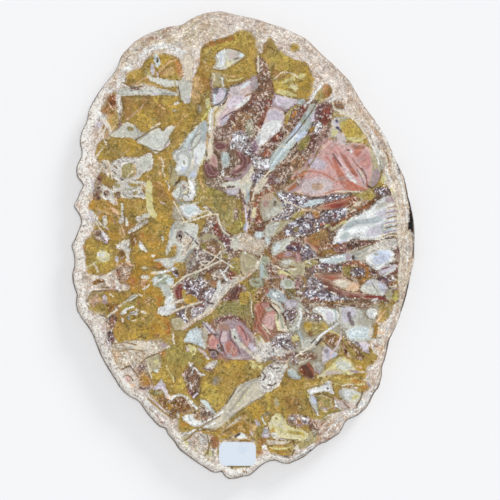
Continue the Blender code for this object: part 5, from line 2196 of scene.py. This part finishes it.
def thread_mask(start, place, size, width, bend=1.0):
    """Thin wandering lines, where smooth noise crosses zero."""
    field = start.cloud(place, size, 1.5, 0.5, bend)
    return 1.0 - field.math("ABSOLUTE", field, 0.0).step(width * 0.4, width)


def rind_grain(start, place, rim, colour, amount):
    blots = start.cloud(place, 15.0, 3.0, 0.6, 0.8)
    fibres = start.cloud(rim, 4.0, 4.0, 0.66, 1.2)
    specks = start.cloud(place, 3.0, 3.0, 0.66, 1.6)
    colour = two_tone(start, colour, blots, 0.0, 0.16, amount * 0.5, (198, 168, 140), (228, 221, 212))
    colour = two_tone(start, colour, fibres, 0.02, 0.11, amount * 0.46, (172, 138, 108), (244, 237, 226), 1.2)
    colour = two_tone(start, colour, specks, 0.05, 0.14, amount * 0.5, (136, 108, 92), (252, 249, 244), 1.3)
    return tinted(start, (110, 86, 74), colour, thread_mask(start, rim, 9.0, 0.012) * amount * 0.45)


def jasper_grain(start, place, swirls, colour, amount):
    clouds = start.cloud(place, 24.0, 2.0, 0.5, 0.6)
    colour = two_tone(start, colour, clouds, 0.0, 0.2, amount * 0.5, (134, 112, 66), (186, 154, 72))
    colour = two_tone(start, colour, swirls, 0.03, 0.14, amount * 0.35, (152, 112, 62), (194, 176, 112))
    grit = start.cloud(place, 2.6, 3.0, 0.7, 1.2)
    colour = two_tone(start, colour, grit, 0.05, 0.16, amount * 0.3, (128, 104, 66), (210, 192, 146), 1.3)
    threads = thread_mask(start, place, 9.0, 0.012, 2.0) * start.cloud(place, 22.0).step(0.0, 0.12)
    colour = tinted(start, (222, 210, 178), colour, threads * amount * 0.6)
    cracks = thread_mask(start, place, 12.0, 0.010, 1.5) * (0.0 - start.cloud(place, 18.0)).step(0.0, 0.12)
    return tinted(start, (96, 74, 48), colour, cracks * amount * 0.55)


def crust_grain(start, place, colour, crystal, frosted, granular):
    """Small grains: dark and white ones in a crystal crust, the white ones partly pale quartz and partly painted
    glints for its sparkle, brown ones in a dull one, curls in a frost.
    """
    cells = start.node("ShaderNodeTexVoronoi", None, {"Vector": place, "Scale": 0.72}, "Color")
    first = start.node("ShaderNodeSeparateColor", None, {0: cells})
    second = first.also(1)
    third = first.also(2)
    patches = start.cloud(place, 9.0, 3.0, 0.6, 1.0)
    dark = (0.40 - first - patches * 1.6).step(0.0, 0.15)
    pale_grains_and_glints = (second + patches * 2.2).step(0.76, 0.9)
    warm = (third - patches * 1.5).step(0.62, 0.8)
    colour = tinted(start, (54, 46, 52), colour, dark * crystal * 0.85)
    colour = tinted(start, (146, 112, 92), colour, warm * crystal * 0.5)
    # Painted highlight: in the crystal crust the white grains are partly pale quartz and partly painted glints
    # that stand in for the sparkle.
    colour = tinted(start, (240, 240, 248), colour, pale_grains_and_glints * crystal * 0.8)
    curls = thread_mask(start, place, 4.5, 0.05, 2.5)
    colour = tinted(start, (122, 104, 96), colour, curls * (0.3 + dark) * frosted * 0.75)
    colour = tinted(start, (246, 244, 240), colour, pale_grains_and_glints * frosted * 0.6)
    colour = tinted(start, (70, 48, 44), colour, dark * granular * 0.62)
    colour = tinted(start, (140, 92, 62), colour, warm * granular * 0.4)
    return tinted(start, (228, 216, 206), colour, pale_grains_and_glints * granular * 0.6)


def agate_grain(start, place, rays, colour, amount):
    colour = two_tone(start, colour, rays, 0.03, 0.14, amount * 0.25, (146, 138, 124), (244, 244, 240))
    return tinted(start, (112, 98, 84), colour, thread_mask(start, place, 9.0, 0.010, 1.5) * amount * 0.4)


# %% The painted colour
def painted_stone(start):
    """The place, the colour, and how much of it is crystal crust and how much is rind."""
    place, arms, rim = stone_places(start)
    curls = start.cloud(place, 5.0, 4.0, 0.64, 1.8)
    swirls = start.cloud(place, 12.0, 3.0, 0.6, 1.0)
    rays = start.cloud(arms, 4.5, 4.0, 0.66, 0.8)
    flecks = start.cloud(place, 2.0, 2.0, 0.6, 1.0)
    raggedness = {"body": curls * 9.0 + swirls * 7.0, "ground": curls * 9.0 + swirls * 9.0,
                  "stains": curls * 6.0 + swirls * 9.0, "forms": curls * 5.0 + rays * 3.0,
                  "insets": curls * 4.0 + rays * 2.5 + flecks * 1.5, "marks": curls * 3.0 + flecks * 1.5,
                  "veins": curls * 2.2}
    lean = start.cloud(place, 16.0, 1.0).step(-0.05, 0.05)
    colour = start.node("ShaderNodeMix", {"data_type": "RGBA"}, {0: 0.0, 6: rgba(*PALETTE["rind"][:3])}, 2)
    for name in LAYERS:
        read = start.node("ShaderNodeAttribute", {"attribute_name": name}, output="Color")
        level = read.also("Alpha") + raggedness[name]
        if name == "body":
            halo = level.step(-6.0, -1.0) * (swirls + 0.1).step(0.0, 0.15)
            colour = tinted(start, (238, 234, 232), colour, halo * 0.55)
        if name == "forms":
            border = level.step(-2.0, -0.5) * (0.0 - level).step(-0.8, 0.2)
            colour = tinted(start, (92, 72, 50), colour, border * 0.4)
        colour = read.over(colour, level.step(-0.6, 0.6) * (0.85 if name == "insets" else 1.0))
        if name in ("forms", "body"):
            inside = level.step(0.0, 0.6) * (2.2 - level).step(0.0, 0.9)
            colour = tinted(start, (226, 214, 186), colour, inside * lean * 0.45)
            colour = tinted(start, (116, 84, 56), colour, inside * (1.0 - lean) * 0.35)
        if name == "forms":
            bands = start.math("SINE", level * 1.9, 0.0) * level.step(0.5, 1.5) * (7.5 - level).step(0.0, 1.5)
            colour = two_tone(start, colour, bands, 0.2, 0.9, 0.17, (120, 100, 88), (234, 226, 216))
    masks = {}
    for kind in KINDS:
        read = start.node("ShaderNodeAttribute", {"attribute_name": kind}, output="Fac")
        masks[kind] = (read + flecks * 0.5).step(0.3, 0.7)
    colour = jasper_grain(start, place, swirls, colour, masks["mottled"])
    colour = crust_grain(start, place, colour, masks["crystal"], masks["frosted"], masks["granular"])
    colour = agate_grain(start, place, rays, colour, masks["banded"])
    colour = rind_grain(start, place, rim, colour, masks["flecked"])
    colour = shaded(colour, {"swirls": swirls, "rays": rays, "curls": curls, "flecks": flecks}, masks)
    return place, rim, colour, masks["crystal"], masks["flecked"]


# %% The veil of the gloss
VEIL = 0.008
LIGHT_SHARE = 0.975


def without_veil(start, colour):
    """The polish mirrors a little of the pale world. Taken off here, the stone's colours stay deep."""
    deeper = start.node("ShaderNodeVectorMath", {"operation": "SUBTRACT"}, {0: colour, 1: (VEIL, VEIL, VEIL)})
    deeper = start.node("ShaderNodeVectorMath", {"operation": "MAXIMUM"}, {0: deeper, 1: (0.01, 0.01, 0.01)})
    return deeper.times(1.0 / LIGHT_SHARE)


# %% [markdown]
# Polishing leaves the face glossy. The crystal crusts stay a little rough, because their grains tear
# out. Where the face meets the bark, a thin pale skin of chalky stone shows, with dark creases in it. At
# the lower left the skin is painted wider and paler, partly as painted light for the shoulder that slopes
# away from the lamps there, and a dark line along the very edge is painted shade where the edge turns down.
# The bark is dull and brown at the sides. Only where it leans upward is it as pale as the rind, and the
# ledge low down on it is nearly black.

# %% The pale skin with painted light at the lower left, and a painted shade line at the very edge
def edge_skin_and_painted_shade(start, place, colour):
    """The colour with a flaky skin and its creases near the very edge, the skin painted paler at the lower left
    partly as painted light, and a painted shade line along the edge.
    """
    edge = start.node("ShaderNodeAttribute", {"attribute_name": "edge"}, output="Fac")
    sides = start.node("ShaderNodeSeparateXYZ", None, {0: place})
    lower_left = (0.0 - sides - sides.also(1) * 0.5 - 30.0).step(0.0, 60.0)
    left = (0.0 - sides - 105.0).step(0.0, 40.0)
    ragged = start.cloud(place, 9.0, 2.0) * 5.0 + start.cloud(place, 2.5, 2.0) * 2.0
    # The skin reaches wider and paler at the lower left: partly pale rind, partly painted light for the shoulder
    # there, which slopes away from the lamps.
    pale_skin_and_painted_light = (1.5 + lower_left * 9.0 + left - edge + ragged).step(0.0, 1.6) * (0.2 + lower_left * 0.4 + left * 0.1)
    flakes = start.cloud(place, 4.0, 3.0, 0.66, 1.5).step(-0.06, 0.06)
    colour = tinted(start, (248, 245, 238), colour, pale_skin_and_painted_light * (0.15 + flakes * 1.6))
    creases = thread_mask(start, place, 7.0, 0.02, 2.0)
    colour = tinted(start, (96, 84, 76), colour, creases * pale_skin_and_painted_light)
    # Painted shade: a dark line along the very edge, where the edge turns down out of the light.
    line = (0.9 - edge + ragged * 0.2).step(0.0, 0.5)
    return tinted(start, (54, 56, 58), colour, line * (0.5 + flakes * 0.35))


# %% Polished face
face_material, face_shader, start = new_material("polished petrified wood")
place, rim, colour, crystal, rind = painted_stone(start)
colour = edge_skin_and_painted_shade(start, place, colour)
plug(without_veil(start, colour), face_shader, "Base Color")
plug(0.17 + crystal * 0.22 + rind * 0.12, face_shader, "Roughness")
relief = start.cloud(place, 1.6, 2.0) * (0.15 + crystal * 0.85)
bump = start.node("ShaderNodeBump", None, {"Strength": 0.25, "Distance": 0.0001, "Height": relief})
plug(bump, face_shader, "Normal")
face_shader.inputs["Specular IOR Level"].default_value = 0.4
slab_mesh.materials.append(face_material)

# %% Bark wall
LEDGE_PX = 14.0
bark_material, bark_shader, start = new_material("pale bark rind")
place, arms, rim = stone_places(start)
blots = start.cloud(place, 10.0, 4.0, 0.6, 0.5)
grit = start.cloud(place, 2.5, 3.0, 0.6)
colour = start.node("ShaderNodeMix", {"data_type": "RGBA"}, {0: 0.0, 6: rgba(142, 128, 114)}, 2)
colour = two_tone(start, colour, blots, 0.02, 0.16, 0.7, (98, 80, 66), (176, 158, 138))
colour = two_tone(start, colour, grit, 0.05, 0.17, 0.6, (66, 54, 46), (206, 196, 182))
facing = start.node("ShaderNodeNewGeometry", output="Normal")
upward = start.node("ShaderNodeSeparateXYZ", None, {0: facing}).also("Z").step(0.15, 0.45)
ground = start.node("ShaderNodeMix", {"data_type": "RGBA"}, {0: 0.0, 6: rgba(*PALETTE["rind"][:3])}, 2)
top_colour = rind_grain(start, place, rim, ground, 1.0)
read = start.node("ShaderNodeAttribute", {"attribute_name": "marks"}, output="Color")
marked = (read.also("Alpha") + grit * 3.0).step(-0.6, 0.6)
top_colour = edge_skin_and_painted_shade(start, place, read.over(top_colour, marked))
height = start.node("ShaderNodeSeparateXYZ", None, {0: place}).also("Z")
top_colour = tinted(start, (58, 48, 44), top_colour, (LEDGE_PX - height + grit * 2.0).step(0.0, 1.5) * 0.85)
colour = top_colour.over(colour, upward)
redness = start.node("ShaderNodeSeparateColor", None, {0: read})
colour = read.over(colour, marked * (0.12 - redness).step(0.0, 0.04))
plug(without_veil(start, colour), bark_shader, "Base Color")
plug(0.85 - upward * 0.5, bark_shader, "Roughness")
bark_shader.inputs["Specular IOR Level"].default_value = 0.1
bump = start.node("ShaderNodeBump", None, {"Strength": 0.5, "Distance": 0.0003, "Height": grit + blots})
plug(bump, bark_shader, "Normal")
slab_mesh.materials.append(bark_material)

# %% Sawn back
back_material, back_shader, start = new_material("sawn stone back")
place, rim, colour, crystal, rind = painted_stone(start)
saw = start.node("ShaderNodeTexWave", {"bands_direction": "X"},
                 {"Vector": place, "Scale": 0.09, "Distortion": 1.2, "Detail": 2.0}, "Fac")
colour = tinted(start, (188, 178, 160), colour, 0.35)
colour = colour.times(0.86 + saw * 0.1)
plug(colour, back_shader, "Base Color")
plug(0.62 + crystal * 0.1, back_shader, "Roughness")
bump = start.node("ShaderNodeBump", None, {"Strength": 0.35, "Distance": 0.0002, "Height": saw})
plug(bump, back_shader, "Normal")
slab_mesh.materials.append(back_material)

# %% Give the slab to the frame
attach(slab, "root")
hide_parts(SLAB)

# %% [markdown]
# ## The label
#
# A small paper sticker with round corners marks the slice. Here it is blank. It lies on the stone, and
# its cut rim is a little rounded.

# %% Label sheet
CORNER_STEPS = 8
CORNER_RADIUS = 0.0034
PAPER_THICKNESS = 0.00018
SHEET_INSET = 0.0005
label_middle = (label_low + label_high) / 2
half = (label_high - label_low) / 2


def rounded_ring(inset, height):
    ring = []
    for corner, (right, up) in enumerate(((1, 1), (-1, 1), (-1, -1), (1, -1))):
        for step in range(CORNER_STEPS + 1):
            turn = math.radians(90.0 * (corner + step / CORNER_STEPS))
            radius = CORNER_RADIUS - inset
            ring.append((label_middle.x + right * (half.x - CORNER_RADIUS) + radius * math.cos(turn),
                         label_middle.y + up * (half.y - CORNER_RADIUS) + radius * math.sin(turn), height))
    return ring


sheet_rings = [rounded_ring(0.0, TOP), rounded_ring(0.0, TOP + 0.7 * PAPER_THICKNESS),
               rounded_ring(0.0001, TOP + PAPER_THICKNESS), rounded_ring(SHEET_INSET, TOP + PAPER_THICKNESS)]
ring_size = len(sheet_rings[0])
sheet_points = [spot for ring in sheet_rings for spot in ring]
sheet_faces = [[ring * ring_size + i, ring * ring_size + (i + 1) % ring_size,
                (ring + 1) * ring_size + (i + 1) % ring_size, (ring + 1) * ring_size + i]
               for ring in range(len(sheet_rings) - 1) for i in range(ring_size)]
sheet_faces.append([3 * ring_size + i for i in range(ring_size)])
sheet_faces.append([i for i in range(ring_size)][::-1])
label_mesh = bpy.data.meshes.new("label_sheet")
label_mesh.from_pydata(sheet_points, [], sheet_faces)
label = bpy.data.objects.new("label_sheet", label_mesh)
bpy.context.scene.collection.objects.link(label)
print(f"the label is {2000 * half.x:.1f} by {2000 * half.y:.1f} mm")

# %% Label paper
paper_material, paper_shader, start = new_material("label paper")
place = start.node("ShaderNodeTexCoord", output="Object")
place = start.node("ShaderNodeVectorMath", {"operation": "SCALE"}, {0: place, "Scale": 1.0 / PIXEL})
fibres = start.cloud(place, 1.5, 3.0, 0.6, 1.0)
smudge = start.cloud(place, 14.0, 2.0)
colour = tinted(start, (224, 234, 246), start.node("ShaderNodeRGB"), 1.0)
colour = tinted(start, (206, 220, 238), colour, smudge.step(0.0, 0.18) * 0.5)
colour = tinted(start, (236, 242, 250), colour, fibres.step(0.04, 0.16) * 0.5)
plug(colour, paper_shader, "Base Color")
paper_shader.inputs["Roughness"].default_value = 0.75
bump = start.node("ShaderNodeBump", None, {"Strength": 0.15, "Distance": 0.0001, "Height": fibres})
plug(bump, paper_shader, "Normal")
label_mesh.materials.append(paper_material)
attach(label, "root")
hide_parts(LABEL)

# %% [markdown]
# ## Stage, light and camera
#
# The slice lies on a wide pale floor. A soft lamp straight above lights the face and the floor alike, and
# it is left out of reflections, because a mirror image of it would lie over the polish like fog. A weaker,
# lower lamp at the upper right leaves the soft shadow at the lower left. The pale world fills the rest.

# %% Floor
FLOOR_HALF = 1.6
floor_mesh = bpy.data.meshes.new("floor")
floor_mesh.from_pydata([(-FLOOR_HALF, -FLOOR_HALF, -0.0001), (FLOOR_HALF, -FLOOR_HALF, -0.0001),
                        (FLOOR_HALF, FLOOR_HALF, -0.0001), (-FLOOR_HALF, FLOOR_HALF, -0.0001)], [], [(0, 1, 2, 3)])
floor = bpy.data.objects.new("floor", floor_mesh)
bpy.context.scene.collection.objects.link(floor)
floor_material, floor_shader, start = new_material("pale floor")
floor_shader.inputs["Base Color"].default_value = rgba(250, 251, 253)
floor_shader.inputs["Roughness"].default_value = 0.9
floor_shader.inputs["Specular IOR Level"].default_value = 0.1
floor_mesh.materials.append(floor_material)

# %% Lights
WORLD_STRENGTH = 0.31
world = bpy.data.worlds.new("light tent")
bpy.context.scene.world = world
world.use_nodes = True
world.node_tree.nodes["Background"].inputs["Color"].default_value = (0.99, 0.995, 1.0, 1.0)
world.node_tree.nodes["Background"].inputs["Strength"].default_value = WORLD_STRENGTH


def add_sun(name, strength, softness_deg, direction, mirrored=True):
    lamp = bpy.data.lights.new(name, "SUN")
    lamp.energy = strength
    lamp.angle = math.radians(softness_deg)
    holder = bpy.data.objects.new(name, lamp)
    holder.rotation_euler = Vector(direction).to_track_quat("-Z", "Y").to_euler()
    holder.visible_glossy = mirrored
    bpy.context.scene.collection.objects.link(holder)


add_sun("overhead lamp", 1.65, 15.0, (-0.03, -0.05, -1.0), mirrored=False)
add_sun("low side lamp", 1.05, 20.0, (-0.55, -0.8, -0.42))

# %% Camera
CAMERA_HEIGHT = 1.6
SENSOR_MM = 36.0
view_side = PICTURE_SIDE_PX * PIXEL
middle = to_metres((PICTURE_SIDE_PX / 2, PICTURE_SIDE_PX / 2))
camera_data = bpy.data.cameras.new("camera")
camera_data.sensor_width = SENSOR_MM
camera_data.lens = SENSOR_MM * (CAMERA_HEIGHT - TOP) / view_side
camera = bpy.data.objects.new("camera", camera_data)
camera.location = (middle[0], middle[1], CAMERA_HEIGHT)
bpy.context.scene.collection.objects.link(camera)
bpy.context.scene.camera = camera
bpy.context.scene.view_settings.view_transform = "Standard"
print(f"the view is {1000 * view_side:.0f} mm wide through a {camera_data.lens:.0f} mm lens")
